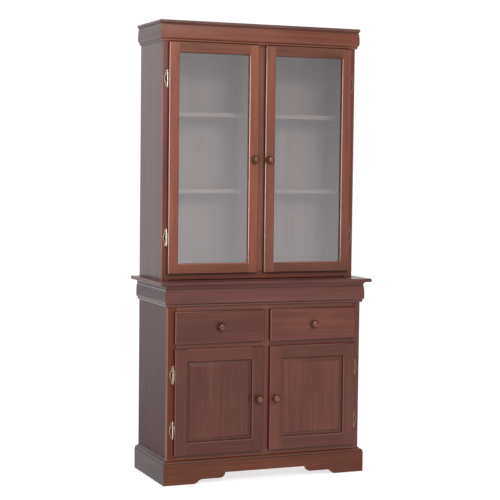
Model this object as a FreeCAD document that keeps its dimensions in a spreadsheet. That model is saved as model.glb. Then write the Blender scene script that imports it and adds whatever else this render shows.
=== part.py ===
import FreeCAD, Part
import math
import os
import re
import Sketcher

# Dresser with hutch: a base cupboard with two drawers over two panelled doors, and a glazed
# hutch on its worktop. Millimetres, +X to the right, +Y to the back, +Z up. The origin is the
# middle of the whole piece's plan, on the floor.

PARTS_FOLDER = "parts"

document = FreeCAD.newDocument("DresserWithHutch")

# ----------------------------------------------------------------------------- driving sizes

SIZES = (
    # carcasses
    ("carcass_width", 918, "over the side panels, base and hutch alike"),
    ("base_depth", 393, "face of the base frame to the back edge of the sides"),
    ("hutch_setback", 88, "hutch frame behind the base frame"),
    ("side_thickness", 18, "side panels"),
    ("board_thickness", 18, "bottoms, tops and shelves"),
    ("back_thickness", 8, "back panels"),
    ("back_recess", 20, "back panels in from the back edge of the sides"),
    ("frame_thickness", 20, "face frames"),
    ("arris", 3.5, "rounding of the outer corners of frames and doors"),
    # heights, from the floor up
    ("plinth_height", 109, "floor to the top of the plinth"),
    ("plinth_reveal", 17, "plinth to the doors"),
    ("base_door_height", 462, "panelled doors"),
    ("rail_reveal", 23.5, "doors to the drawers"),
    ("drawer_height", 138.5, "drawer fronts"),
    ("frieze_reveal", 20, "drawers to the frieze"),
    ("frieze_height", 92, "frieze moulding"),
    ("worktop_thickness", 16, "worktop board"),
    ("hutch_reveal", 28, "worktop to the glazed doors"),
    ("hutch_rail_lift", 3, "shadow gap under the hutch's bottom rail"),
    ("hutch_door_height", 1001, "glazed doors"),
    ("cornice_reveal", 3, "glazed doors to the cornice"),
    ("cornice_height", 76, "cornice moulding"),
    ("crown_thickness", 14, "crown board"),
    # fronts, seen from the front
    ("base_outer_reveal", 31, "side of the carcass to a base door or drawer"),
    ("base_middle_gap", 28, "between the base doors"),
    ("hutch_outer_reveal", 25.5, "side of the carcass to a glazed door"),
    ("hutch_middle_gap", 33, "between the glazed doors"),
    ("overlay", 10, "fronts over the edge of their openings"),
    ("front_thickness", 19, "doors and drawer fronts"),
    ("front_gap", 1, "fronts off the face frame"),
    ("bottom_rail_drop", 76, "height of the base's bottom rail"),
    # worktop and crown
    ("worktop_overhang", 42, "worktop past the base frame, in front"),
    ("worktop_side_overhang", 41, "worktop past each side"),
    ("worktop_nose", 7, "rounding of the worktop's edge"),
    ("nose_flat", 1, "least flat between the two roundings of an edge"),
    ("worktop_corner", 9, "rounding of the worktop's front corners in plan"),
    ("crown_overhang", 18, "crown board past the hutch"),
    ("crown_nose", 5.5, "rounding of the crown board's edge"),
    # frieze and cornice moulding
    ("bead_projection", 4, "flat underside of the bottom bead"),
    ("bead_swell", 8.5, "bead at its fullest"),
    ("bead_height", 7, "bead at its fullest, over the moulding's foot"),
    ("quirk_projection", 7, "bottom of the groove over the bead"),
    ("quirk_height", 9.5, "groove over the bead"),
    ("belly_projection", 14.7, "belly at its fullest"),
    ("belly_height", 25, "belly at its fullest, over the moulding's foot"),
    ("neck_projection", 11.6, "neck, where the cove begins"),
    ("neck_height", 63, "neck over the moulding's foot"),
    ("frieze_projection", 20, "frieze under the worktop"),
    ("cornice_projection", 15.7, "cornice under the crown board"),
    # plinth
    ("plinth_thickness", 18, "plinth boards"),
    ("plinth_flat_drop", 21, "top of the flat face under the plinth's top"),
    ("plinth_quirk_depth", 3, "groove over the flat"),
    ("plinth_quirk_drop", 15, "groove under the plinth's top"),
    ("plinth_quirk_edge", 1, "square edge over the groove"),
    ("plinth_ogee_projection", 8, "middle of the ogee on top"),
    ("plinth_ogee_drop", 6, "middle of the ogee under the plinth's top"),
    ("plinth_lip", 1.5, "top edge of the ogee"),
    ("foot_length", 137, "bracket foot along the floor"),
    ("foot_sweep", 43, "run of the foot's inner curve"),
    ("bracket_height", 19, "underside of the bracket"),
    ("bracket_length", 82, "bracket past the foot's curve"),
    ("arch_rise", 23, "quarter round from the bracket to the arch"),
    # doors
    ("hutch_member_width", 45, "stiles and rails of the glazed doors"),
    ("base_member_width", 56, "stiles and rails of the panelled doors"),
    ("sight_bevel", 3, "bevel round the glass and the panels"),
    ("rebate_width", 8, "glass rebate, across"),
    ("rebate_depth", 9, "glass rebate, from the back"),
    ("glass_thickness", 4, "panes"),
    ("pane_play", 1, "play of panes and panels in their frames"),
    ("groove_width", 6, "panel groove"),
    ("groove_depth", 9, "panel groove and tenons"),
    ("groove_setback", 8, "panel groove behind the door's face"),
    ("field_margin", 19, "bevel from the frame to the panel's field"),
    ("field_rise", 5, "bevel's slope, front to back"),
    ("field_step", 1.2, "step round the field"),
    ("panel_ease", 0.3, "bevel behind the front edge of the groove"),
    # drawers
    ("drawer_back_gap", 36, "drawer boxes short of the back panel"),
    ("drawer_side_thickness", 12, "sides, front and back of the boxes"),
    ("drawer_side_gap", 2, "boxes to the sides of their openings"),
    ("drawer_box_rise", 6, "boxes over the bottom of their openings"),
    ("drawer_box_height", 100, "drawer boxes"),
    ("drawer_bottom_thickness", 5, "bottom panels"),
    ("drawer_bottom_rise", 8, "bottom panels over the sides' lower edge"),
    ("drawer_groove_depth", 5, "grooves for the bottom panels"),
    ("runner_height", 15, "runners"),
    ("runner_bite", 6, "depth of the runner grooves"),
    ("runner_clearance", 0.3, "runners in their grooves"),
    ("divider_drop", 20, "divider under the drawer openings"),
    # shelves
    ("base_shelf_rise", 218, "underside of the cupboard shelf over the cupboard's floor"),
    ("base_shelf_depth", 300, "cupboard shelf"),
    ("hutch_shelf_depth", 132, "hutch shelves"),
    ("low_shelf_rise", 338, "underside of the lower hutch shelf over the hutch's floor"),
    ("high_shelf_rise", 679, "underside of the upper hutch shelf over the hutch's floor"),
    ("shelf_play", 1, "shelves off the carcass"),
    ("peg_radius", 2.5, "shelf pegs"),
    ("peg_length", 20, "shelf pegs"),
    ("peg_seat", 9, "depth of the peg holes"),
    ("peg_hole_clearance", 0.1, "pegs in their holes"),
    ("peg_inset", 28, "pegs in from the shelves' long edges"),
    # knobs
    ("knob_length", 28, "off the front"),
    ("knob_radius", 17.5, "head"),
    ("knob_crown_radius", 12, "where the rim turns into the dome"),
    ("knob_neck_radius", 6.5, "neck"),
    ("knob_neck_height", 7.5, "neck off the front"),
    ("knob_foot_radius", 9.5, "foot"),
    ("base_knob_inset", 26, "knob in from the panelled door's free edge"),
    ("hutch_knob_inset", 19, "knob in from the glazed door's free edge"),
    # hinges
    ("hinge_height", 70, "barrel and frame leaf"),
    ("knuckle_radius", 3.5, "barrel"),
    ("knuckle_clearance", 0.3, "barrel off the wood, and between knuckles"),
    ("hinge_pin_radius", 1.5, "pin"),
    ("hinge_pin_clearance", 0.1, "pin in the door leaf"),
    ("finial_radius", 2.8, "domed caps on the pin's ends"),
    ("finial_collar", 1, "straight foot of the caps"),
    ("leaf_thickness", 1.2, "leaves"),
    ("frame_leaf_width", 14, "frame leaf at its middle, from the pin"),
    ("frame_leaf_end", 8.5, "frame leaf at its ends, from the pin"),
    ("door_leaf_width", 12, "door leaf at its middle, from the pin"),
    ("door_leaf_end", 7, "door leaf at its ends, from the pin"),
    ("base_hinge_inset", 112, "hinge's middle in from the door's ends, base"),
    ("hutch_hinge_inset", 157.5, "hinge's middle in from the door's ends, hutch"),
    # magnetic catches
    ("catch_width", 12, "catches"),
    ("catch_depth", 30, "catches"),
    ("catch_height", 42, "catches"),
    ("catch_arris", 2, "rounding of the catches"),
    ("catch_gap", 0.3, "catches off the closed doors"),
    ("catch_drop", 60, "catch's middle under the door's top edge"),
    # cuts
    ("cut_margin", 1, "past the faces that a cut opens"),
)

# Levels and lines that follow from the driving sizes.
LEVELS = (
    # across, from the middle
    ("half_width", "carcass_width / 2"),
    ("inner_half", "half_width - side_thickness"),
    ("base_front_outer", "half_width - base_outer_reveal"),
    ("base_front_inner", "base_middle_gap / 2"),
    ("base_opening_outer", "base_front_outer - overlay"),
    ("base_opening_inner", "base_front_inner + overlay"),
    ("hutch_front_outer", "half_width - hutch_outer_reveal"),
    ("hutch_front_inner", "hutch_middle_gap / 2"),
    ("hutch_opening_outer", "hutch_front_outer - overlay"),
    ("hutch_opening_inner", "hutch_front_inner + overlay"),
    ("base_door_width", "base_front_outer - base_front_inner"),
    ("hutch_door_width", "hutch_front_outer - hutch_front_inner"),
    ("base_door_middle", "(base_front_outer + base_front_inner) / 2"),
    ("hutch_door_middle", "(hutch_front_outer + hutch_front_inner) / 2"),
    # front to back
    ("reach", "max(front_gap + front_thickness + knob_length; worktop_overhang)"),
    ("base_face", "(reach - base_depth) / 2"),
    ("base_inside", "base_face + frame_thickness"),
    ("back_edge", "base_face + base_depth"),
    ("back_face", "back_edge - back_recess"),
    ("back_inside", "back_face - back_thickness"),
    ("hutch_face", "base_face + hutch_setback"),
    ("hutch_inside", "hutch_face + frame_thickness"),
    # up from the floor
    ("base_door_bottom", "plinth_height + plinth_reveal"),
    ("base_door_top", "base_door_bottom + base_door_height"),
    ("drawer_bottom", "base_door_top + rail_reveal"),
    ("drawer_top", "drawer_bottom + drawer_height"),
    ("frieze_bottom", "drawer_top + frieze_reveal"),
    ("worktop_bottom", "frieze_bottom + frieze_height"),
    ("worktop_top", "worktop_bottom + worktop_thickness"),
    ("cupboard_floor", "base_door_bottom + overlay"),
    ("cupboard_head", "base_door_top - overlay"),
    ("drawer_sill", "drawer_bottom + overlay"),
    ("drawer_head", "drawer_top - overlay"),
    ("hutch_door_bottom", "worktop_top + hutch_reveal"),
    ("hutch_door_top", "hutch_door_bottom + hutch_door_height"),
    ("hutch_floor", "hutch_door_bottom + overlay"),
    ("hutch_head", "hutch_door_top - overlay"),
    ("base_shelf_level", "cupboard_floor + base_shelf_rise"),
    ("hutch_shelf_low", "hutch_floor + low_shelf_rise"),
    ("hutch_shelf_high", "hutch_floor + high_shelf_rise"),
    ("cornice_bottom", "hutch_door_top + cornice_reveal"),
    ("crown_bottom", "cornice_bottom + cornice_height"),
    ("crown_top", "crown_bottom + crown_thickness"),
    # hinges: the pin stands off the door's edge and the frame's face by the same amount
    ("pin_offset", "knuckle_radius + knuckle_clearance"),
    ("knuckle_length", "hinge_height / 5"),
    # drawer boxes, from the back of their fronts and from their own middle
    ("drawer_depth", "back_inside - drawer_back_gap - (base_face - front_gap)"),
    ("drawer_box_width", "base_opening_outer - base_opening_inner - 2 * drawer_side_gap"),
    ("runner_level", "drawer_sill + drawer_box_rise + drawer_box_height / 2"),
)

sizes = document.addObject("Spreadsheet::Sheet", "Sizes")
for row, (alias, number, meaning) in enumerate(SIZES, start=1):
    sizes.set(f"A{row}", alias)
    sizes.set(f"B{row}", str(number))
    sizes.set(f"C{row}", meaning)
    sizes.setAlias(f"B{row}", alias)
document.recompute()

holder_of = {alias: "Sizes." for alias, number, meaning in SIZES}


def formula(text):
    """Name the object that holds each size or level, so that any feature can be bound to it."""
    return re.sub(r"[a-z_]+", lambda word: holder_of.get(word.group(), "") + word.group(), text)


levels = document.addObject("App::VarSet", "Levels")
for name, text in LEVELS:
    levels.addProperty("App::PropertyFloat", name, "Levels", "")
    levels.setExpression(name, formula(text))
    holder_of[name] = "Levels."
document.recompute()


def value(text):
    return float(sizes.evalExpression(formula(text)))


# ---------------------------------------------------------------------- sketches and features

PLANE_ACROSS = {"x": "YZ_Plane", "y": "XZ_Plane", "z": "XY_Plane"}
LEFT = -1
RIGHT = 1
QUARTER_TURN = 90
SIDE_NAMES = {LEFT: "left", RIGHT: "right"}


def start_body(name):
    body = document.addObject("PartDesign::Body", name)
    body.Label = name
    return body


def start_sketch(body, axis, level):
    """A sketch square to an axis of the body. Seen on it: y and z, x and z, or x and y."""
    sketch = body.newObject("Sketcher::SketchObject", body.Name + "_sketch")
    planes = [plane for plane in body.Origin.OriginFeatures if plane.Role == PLANE_ACROSS[axis]]
    sketch.AttachmentSupport = (planes[0], [""])
    sketch.MapMode = "FlatFace"
    sign = "-" if axis == "y" else ""
    sketch.setExpression("AttachmentOffset.Base.z", f"{sign}({formula(level)})")
    return sketch


def pin_point(sketch, element, point, across, up):
    """Tie a sketch point to two formulas, measured from the sketch's origin."""
    for kind, text, axis_line in (("DistanceX", across, -2), ("DistanceY", up, -1)):
        if text == "0":
            sketch.addConstraint(Sketcher.Constraint("PointOnObject", element, point, axis_line))
            continue
        tie = Sketcher.Constraint(kind, -1, 1, element, point, value(text))
        index = sketch.addConstraint(tie)
        sketch.setExpression(f"Constraints[{index}]", formula(text))


def draw_outline(sketch, corners):
    """Close an outline that runs anticlockwise through its corners.

    A corner is (across, up) or (across, up, turn). The turn is the angle in degrees of the arc
    that leads to the next corner: positive swells out of the piece, negative hollows it.
    """
    places = [(value(corner[0]), value(corner[1])) for corner in corners]
    turns = [corner[2] if len(corner) > 2 else 0 for corner in corners]
    elements = []
    for index, turn in enumerate(turns):
        start = FreeCAD.Vector(*places[index], 0)
        end = FreeCAD.Vector(*places[(index + 1) % len(places)], 0)
        if turn == 0:
            element = sketch.addGeometry(Part.LineSegment(start, end), False)
            elements.append((element, 1, 2))
            continue
        half_turn = math.radians(abs(turn)) / 2
        chord = end - start
        radius = chord.Length / 2 / math.sin(half_turn)
        inward = FreeCAD.Vector(-chord.y, chord.x, 0).normalize() * math.copysign(1, turn)
        centre = (start + end) / 2 + inward * radius * math.cos(half_turn)
        first, last = (start, end) if turn > 0 else (end, start)
        first_angle = math.atan2(first.y - centre.y, first.x - centre.x)
        last_angle = math.atan2(last.y - centre.y, last.x - centre.x)
        circle = Part.Circle(centre, FreeCAD.Vector(0, 0, 1), radius)
        element = sketch.addGeometry(Part.ArcOfCircle(circle, first_angle, last_angle), False)
        elements.append((element, 1, 2) if turn > 0 else (element, 2, 1))
        sketch.addConstraint(Sketcher.Constraint("Angle", element, math.radians(abs(turn))))
    for index, (element, start_point, end_point) in enumerate(elements):
        following, next_start, _ = elements[(index + 1) % len(elements)]
        sketch.addConstraint(
            Sketcher.Constraint("Coincident", element, end_point, following, next_start))
        pin_point(sketch, element, start_point, corners[index][0], corners[index][1])


def draw_circles(sketch, radius, centres):
    for across, up in centres:
        middle = FreeCAD.Vector(value(across), value(up), 0)
        circle = Part.Circle(middle, FreeCAD.Vector(0, 0, 1), value(radius))
        element = sketch.addGeometry(circle, False)
        pin_point(sketch, element, 3, across, up)
        index = sketch.addConstraint(Sketcher.Constraint("Radius", element, value(radius)))
        sketch.setExpression(f"Constraints[{index}]", formula(radius))


def rectangle(low_across, high_across, low_up, high_up):
    return [(low_across, low_up), (high_across, low_up), (high_across, high_up),
            (low_across, high_up)]


def pad(body, axis, low, high, corners):
    """Material from low to high along an axis, as wide as the outline."""
    sketch = start_sketch(body, axis, high if axis == "y" else low)
    draw_outline(sketch, corners)
    feature = body.newObject("PartDesign::Pad", body.Name + "_pad")
    feature.Profile = sketch
    feature.setExpression("Length", formula(f"({high}) - ({low})"))
    return feature


def revolve(body, sketch):
    feature = body.newObject("PartDesign::Revolution", body.Name + "_turned")
    feature.Profile = sketch
    feature.ReferenceAxis = (sketch, ["V_Axis"])
    return feature


def pocket(body, axis, low, high, corners=(), circles=None, taper=0):
    """Cut from low to high along an axis. A taper widens it towards the sketch's side."""
    sketch = start_sketch(body, axis, low if axis == "y" else high)
    if circles:
        draw_circles(sketch, *circles)
    else:
        draw_outline(sketch, corners)
    feature = body.newObject("PartDesign::Pocket", body.Name + "_pocket")
    feature.Profile = sketch
    feature.setExpression("Length", formula(f"({high}) - ({low})"))
    feature.TaperAngle = taper
    return feature


BOX_SIDES = {
    "left": ("XMin", "XMax", "XMin"),
    "right": ("XMin", "XMax", "XMax"),
    "front": ("YMin", "YMax", "YMin"),
    "back": ("YMin", "YMax", "YMax"),
    "bottom": ("ZMin", "ZMax", "ZMin"),
    "top": ("ZMin", "ZMax", "ZMax"),
}
SAME_PLACE = 1e-4


def edge_names(shape, *places):
    """Edges that lie on both named sides of the shape, such as "left front"."""
    names = []
    for number, edge in enumerate(shape.Edges, start=1):
        for place in places:
            limits = [BOX_SIDES[side] for side in place.split()]
            on_side = [
                abs(getattr(edge.BoundBox, end) - getattr(shape.BoundBox, limit)) < SAME_PLACE
                for low, high, limit in limits for end in (low, high)]
            if all(on_side):
                names.append(f"Edge{number}")
    return names


def round_edges(body, radius, *places):
    document.recompute()
    tip = body.Tip
    feature = body.newObject("PartDesign::Fillet", body.Name + "_arris")
    feature.Base = (tip, edge_names(tip.Shape, *places))
    feature.setExpression("Radius", formula(radius))
    return feature


def mirrored_span(side, inner, outer):
    """From inner to outer on the right of the middle, or the same on the left."""
    return (inner, outer) if side == RIGHT else (f"-({outer})", f"-({inner})")


def board(name, x, y, z, arrises=()):
    """A board between pairs of levels, with some of its long corners rounded."""
    if not arrises:
        box = document.addObject("Part::Box", name)
        box.Label = name
        for length, place, (low, high) in zip(("Length", "Width", "Height"), "xyz", (x, y, z)):
            box.setExpression(length, formula(f"({high}) - ({low})"))
            box.setExpression(f"Placement.Base.{place}", formula(low))
        return box
    body = start_body(name)
    pad(body, "z", *z, rectangle(*x, *y))
    round_edges(body, "arris", *arrises)
    return body


def place(piece, x="0", y="0", z="0"):
    for axis, text in zip("xyz", (x, y, z)):
        piece.setExpression(f"Placement.Base.{axis}", formula(text))
    return piece


def group(name, pieces):
    """Separate solids of one kind that share a node."""
    compound = document.addObject("Part::Compound", name)
    compound.Label = name
    compound.Links = pieces
    return compound


nodes = []


def keep(*pieces):
    nodes.extend(pieces)


# -------------------------------------------------------------------------------- base carcass

HUTCH_SHELVES = ("hutch_shelf_low", "hutch_shelf_high")
INNER_SPAN = ("-inner_half", "inner_half")
BASE_FRAME = ("base_face", "base_inside")
HUTCH_FRAME = ("hutch_face", "hutch_inside")


def peg_rows(shelf_depth):
    """The two lines of pegs under a shelf, front to back."""
    return (f"back_inside - shelf_play - {shelf_depth} + peg_inset",
            "back_inside - shelf_play - peg_inset")


def peg_panel(name, side, x, holes, y, z, shelf_depth, shelf_levels):
    """An upright panel with blind holes for the shelf pegs over the span called holes."""
    body = start_body(name)
    pad(body, "x", *mirrored_span(side, *x), rectangle(*y, *z))
    centres = [(row, f"{level} - peg_radius")
               for level in shelf_levels for row in peg_rows(shelf_depth)]
    pocket(body, "x", *mirrored_span(side, *holes),
           circles=("peg_radius + peg_hole_clearance", centres))
    return body


SIDE_PANEL = (("inner_half", "half_width"), ("inner_half", "inner_half + peg_seat"))

for side in (LEFT, RIGHT):
    keep(peg_panel(f"base_side_{SIDE_NAMES[side]}", side, *SIDE_PANEL,
                   ("base_inside", "back_edge"), ("0", "worktop_bottom"), "base_shelf_depth",
                   ["base_shelf_level"]))
    keep(board(f"base_stile_{SIDE_NAMES[side]}",
               mirrored_span(side, "base_opening_outer", "half_width"), BASE_FRAME,
               ("0", "worktop_bottom"), [f"{SIDE_NAMES[side]} front"]))

base_opening = ("-base_opening_outer", "base_opening_outer")
keep(
    board("base_bottom", INNER_SPAN, ("base_inside", "back_inside"),
          ("cupboard_floor - board_thickness", "cupboard_floor")),
    board("base_shelf", ("shelf_play - inner_half", "inner_half - shelf_play"),
          ("back_inside - shelf_play - base_shelf_depth", "back_inside - shelf_play"),
          ("base_shelf_level", "base_shelf_level + board_thickness")),
    board("base_stile_middle", ("-base_opening_inner", "base_opening_inner"), BASE_FRAME,
          ("cupboard_floor", "drawer_head")),
    board("base_rail_top", base_opening, BASE_FRAME, ("drawer_head", "worktop_bottom")),
    board("base_rail_bottom", base_opening, BASE_FRAME,
          ("cupboard_floor - bottom_rail_drop", "cupboard_floor")),
    group("base_rail_middle", [
        board(f"rail_middle_{SIDE_NAMES[side]}",
              mirrored_span(side, "base_opening_inner", "base_opening_outer"), BASE_FRAME,
              ("cupboard_head", "drawer_sill"))
        for side in (LEFT, RIGHT)]),
)

# ---------------------------------------------------------------- mouldings, mitred at corners

BEAD_TURN = 80
QUIRK_TURN = 70
BELLY_TURN = 12
COVE_TURN = -70
PLINTH_SHOULDER_TURN = 50
PLINTH_SWELL_TURN = 60
PLINTH_COVE_TURN = -55


def belly_profile(foot, head, projection):
    """Bead, groove, belly and cove, from the foot of the moulding up, as (out, up, turn)."""
    return [
        ("0", foot),
        ("bead_projection", foot, BEAD_TURN),
        ("bead_swell", f"{foot} + bead_height"),
        ("quirk_projection", f"{foot} + quirk_height", QUIRK_TURN),
        ("belly_projection", f"{foot} + belly_height", BELLY_TURN),
        ("neck_projection", f"{foot} + neck_height", COVE_TURN),
        (projection, head),
        ("0", head),
    ]


def plinth_profile():
    """A flat board with a groove and an ogee on its top edge, as (out, up, turn)."""
    return [
        ("0", "0"),
        ("plinth_thickness", "0"),
        ("plinth_thickness", "plinth_height - plinth_flat_drop", PLINTH_SHOULDER_TURN),
        ("plinth_thickness - plinth_quirk_depth", "plinth_height - plinth_quirk_drop"),
        ("plinth_thickness - plinth_quirk_depth / 2",
         "plinth_height - plinth_quirk_drop + plinth_quirk_edge", PLINTH_SWELL_TURN),
        ("plinth_ogee_projection", "plinth_height - plinth_ogee_drop", PLINTH_COVE_TURN),
        ("plinth_lip", "plinth_height"),
        ("0", "plinth_height"),
    ]


def mirrored_outline(corners):
    """The outline on the other side of the up axis, still anticlockwise."""
    count = len(corners)
    turns = [corner[2] if len(corner) > 2 else 0 for corner in corners]
    mirrored = []
    for index in reversed(range(count)):
        across, up = corners[index][:2]
        negative = across if across == "0" else f"-({across})"
        mirrored.append((negative, up, turns[(index - 1) % count]))
    return mirrored


def front_moulding(name, profile, face, reach):
    """A length of moulding across a face, with a mitre at each end."""
    body = start_body(name)
    end = f"half_width + {reach} + cut_margin"
    section = [(f"{face} - ({across})", up, *turn) for across, up, *turn in profile]
    pad(body, "x", f"-({end})", end, reorder(section))
    top = profile[-1][1]
    foot = profile[0][1]
    for side in (LEFT, RIGHT):
        corner = [
            ("half_width - cut_margin", f"{face} + cut_margin"),
            (end, f"{face} - {reach} - cut_margin"),
            (end, f"{face} + cut_margin"),
        ]
        if side == LEFT:
            corner = mirrored_outline(corner)
        pocket(body, "z", f"{foot} - cut_margin", f"{top} + cut_margin", corner)
    return body


def reorder(corners):
    """Reverse the run of an outline whose across axis was turned round, with its turns."""
    count = len(corners)
    turns = [corner[2] if len(corner) > 2 else 0 for corner in corners]
    return [(*corners[index][:2], turns[(index - 1) % count])
            for index in reversed(range(count))]


def side_moulding(name, side, profile, face, reach):
    """A length of moulding along a side, mitred at the front and square at the back."""
    body = start_body(name)
    section = [(f"half_width + ({across})", up, *turn) for across, up, *turn in profile]
    if side == LEFT:
        section = mirrored_outline(section)
    front = f"{face} - {reach} - cut_margin"
    pad(body, "y", front, "back_edge", section)
    corner = [
        ("half_width - cut_margin", front),
        (f"half_width + {reach} + cut_margin", front),
        ("half_width - cut_margin", f"{face} + cut_margin"),
    ]
    if side == LEFT:
        corner = mirrored_outline(corner)
    foot = profile[0][1]
    top = profile[-1][1]
    pocket(body, "z", f"{foot} - cut_margin", f"{top} + cut_margin", corner)
    return body


def moulding_set(name, profile, face, reach):
    """The front length and the two side lengths of a moulding."""
    front = front_moulding(f"{name}_front", profile, face, reach)
    sides = [side_moulding(f"{name}_{SIDE_NAMES[side]}", side, profile, face, reach)
             for side in (LEFT, RIGHT)]
    keep(front, group(f"{name}_sides", sides))
    return front


frieze = belly_profile("frieze_bottom", "worktop_bottom", "frieze_projection")
cornice = belly_profile("cornice_bottom", "crown_bottom", "cornice_projection")
moulding_set("frieze", frieze, "base_face", "frieze_projection")
moulding_set("cornice", cornice, "hutch_face", "cornice_projection")
plinth_front = moulding_set("plinth", plinth_profile(), "base_face", "plinth_thickness")

# The plinth is sawn out between two bracket feet: an ogee off each foot, a short level
# bracket, and a quarter round up to the long flat arch.
FOOT_TURN = 50
foot_end = "(half_width + plinth_thickness - foot_length)"
sweep_end = f"({foot_end} - foot_sweep)"
sweep_middle = f"(({foot_end} + {sweep_end}) / 2)"
bracket_end = f"({sweep_end} - bracket_length)"
arch_end = f"({bracket_end} - arch_rise)"
arch_height = "(bracket_height + arch_rise)"
right_half = [
    (foot_end, "-cut_margin"),
    (foot_end, "0", -FOOT_TURN),
    (sweep_middle, "bracket_height / 2", FOOT_TURN),
    (sweep_end, "bracket_height"),
    (bracket_end, "bracket_height", -QUARTER_TURN),
    (arch_end, arch_height),
]
left_half = [
    (f"-{arch_end}", arch_height, -QUARTER_TURN),
    (f"-{bracket_end}", "bracket_height"),
    (f"-{sweep_end}", "bracket_height", FOOT_TURN),
    (f"-{sweep_middle}", "bracket_height / 2", -FOOT_TURN),
    (f"-{foot_end}", "0"),
    (f"-{foot_end}", "-cut_margin"),
]
pocket(plinth_front, "y", "base_face - plinth_thickness - cut_margin",
       "base_face + cut_margin", right_half + left_half)

# --------------------------------------------------------------------------- worktop and crown


def nosed_board(name, overhang_front, overhang_side, face, z, nose, corner):
    """A top board with its front and side edges rounded over, and its back edge square."""
    body = start_body(name)
    bottom, top = z
    x = (f"-(half_width + {overhang_side})", f"half_width + {overhang_side}")
    pad(body, "z", *z, rectangle(*x, f"{face} - {overhang_front}", "back_edge"))
    round_edges(body, corner, "left front", "right front")
    round_edges(body, f"min({nose}; ({top} - ({bottom}) - nose_flat) / 2)",
                "top front", "bottom front")
    return body


keep(
    nosed_board("worktop", "worktop_overhang", "worktop_side_overhang", "base_face",
                ("worktop_bottom", "worktop_top"), "worktop_nose", "worktop_corner"),
    nosed_board("crown_board", "crown_overhang", "crown_overhang", "hutch_face",
                ("crown_bottom", "crown_top"), "crown_nose", "crown_nose"),
)

# ------------------------------------------------------------------------------- hutch carcass

for side in (LEFT, RIGHT):
    keep(peg_panel(f"hutch_side_{SIDE_NAMES[side]}", side, *SIDE_PANEL,
                   ("hutch_inside", "back_edge"), ("worktop_top", "crown_bottom"),
                   "hutch_shelf_depth", HUTCH_SHELVES))
    keep(board(f"hutch_stile_{SIDE_NAMES[side]}",
               mirrored_span(side, "hutch_opening_outer", "half_width"), HUTCH_FRAME,
               ("worktop_top", "crown_bottom"), [f"{SIDE_NAMES[side]} front"]))

hutch_opening = ("-hutch_opening_outer", "hutch_opening_outer")
hutch_room = ("hutch_inside", "back_inside")
keep(
    board("hutch_bottom", INNER_SPAN, hutch_room, ("hutch_floor - board_thickness", "hutch_floor")),
    board("hutch_top", INNER_SPAN, hutch_room, ("hutch_head", "hutch_head + board_thickness")),
    board("hutch_stile_middle", ("-hutch_opening_inner", "hutch_opening_inner"), HUTCH_FRAME,
          ("hutch_floor", "hutch_head")),
    board("hutch_rail_top", hutch_opening, HUTCH_FRAME, ("hutch_head", "crown_bottom")),
    board("hutch_rail_bottom", hutch_opening, HUTCH_FRAME,
          ("worktop_top + hutch_rail_lift", "hutch_floor")),
    group("hutch_partition", [
        peg_panel(f"partition_{SIDE_NAMES[side]}", side, ("0", "board_thickness"),
                  ("board_thickness - peg_seat", "board_thickness"), hutch_room,
                  ("hutch_floor", "hutch_head"), "hutch_shelf_depth", HUTCH_SHELVES)
        for side in (LEFT, RIGHT)]),
    group("hutch_shelves", [
        board(f"{level}_board_{SIDE_NAMES[side]}",
              mirrored_span(side, "board_thickness + shelf_play", "inner_half - shelf_play"),
              ("back_inside - shelf_play - hutch_shelf_depth", "back_inside - shelf_play"),
              (level, f"{level} + board_thickness"))
        for level in HUTCH_SHELVES for side in (LEFT, RIGHT)]),
    group("back_panels", [
        board("base_back", INNER_SPAN, ("back_inside", "back_face"),
              ("cupboard_floor - board_thickness", "worktop_bottom")),
        board("hutch_back", INNER_SPAN, ("back_inside", "back_face"),
              ("worktop_top", "crown_bottom"))]),
)


def shelf_pegs(shelf_depth, level, inner, outer):
    """Pegs on both halves under a shelf, from inner to outer and part sunk in a panel."""
    pegs = []
    for side in (LEFT, RIGHT):
        for row in peg_rows(shelf_depth):
            peg = document.addObject("Part::Cylinder", "peg")
            peg.setExpression("Radius", formula("peg_radius"))
            peg.setExpression("Height", formula("peg_length"))
            peg.Placement.Rotation = FreeCAD.Rotation(FreeCAD.Vector(0, 1, 0), QUARTER_TURN)
            ends = mirrored_span(side, inner, outer)
            pegs.append(place(peg, ends[0], row, f"{level} - peg_radius"))
    return pegs


SIDE_PEGS = ("inner_half + peg_seat - peg_length", "inner_half + peg_seat")
PARTITION_PEGS = ("board_thickness - peg_seat", "board_thickness - peg_seat + peg_length")
pegs = shelf_pegs("base_shelf_depth", "base_shelf_level", *SIDE_PEGS)
for level in HUTCH_SHELVES:
    for ends in (SIDE_PEGS, PARTITION_PEGS):
        pegs += shelf_pegs("hutch_shelf_depth", level, *ends)
keep(group("shelf_pegs", pegs))

# --------------------------------------------------------------- drawer runners and the divider

drawer_room = ("base_inside", "back_inside")
runner_span = ("runner_level - runner_height / 2", "runner_level + runner_height / 2")
box_inner_side = "(base_opening_inner + drawer_side_gap)"
box_outer_side = "(base_opening_outer - drawer_side_gap)"
runner_reach = "(runner_bite - runner_clearance)"
runners = []
for side in (LEFT, RIGHT):
    inner_runner = mirrored_span(side, "board_thickness / 2", f"{box_inner_side} + {runner_reach}")
    outer_runner = mirrored_span(side, f"{box_outer_side} - {runner_reach}", "inner_half")
    for kind, x in (("inner", inner_runner), ("outer", outer_runner)):
        runners.append(board(f"runner_{kind}_{SIDE_NAMES[side]}", x, drawer_room, runner_span))
keep(
    board("drawer_divider", ("-board_thickness / 2", "board_thickness / 2"), drawer_room,
          ("drawer_sill - divider_drop", "worktop_bottom")),
    group("drawer_runners", runners),
)

# ---------------------------------------------------------------------------------------- knobs

FOOT_COVE_TURN = -70
UNDERSIDE_TURN = 45
RIM_TURN = 66
DOME_TURN = 24


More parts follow.
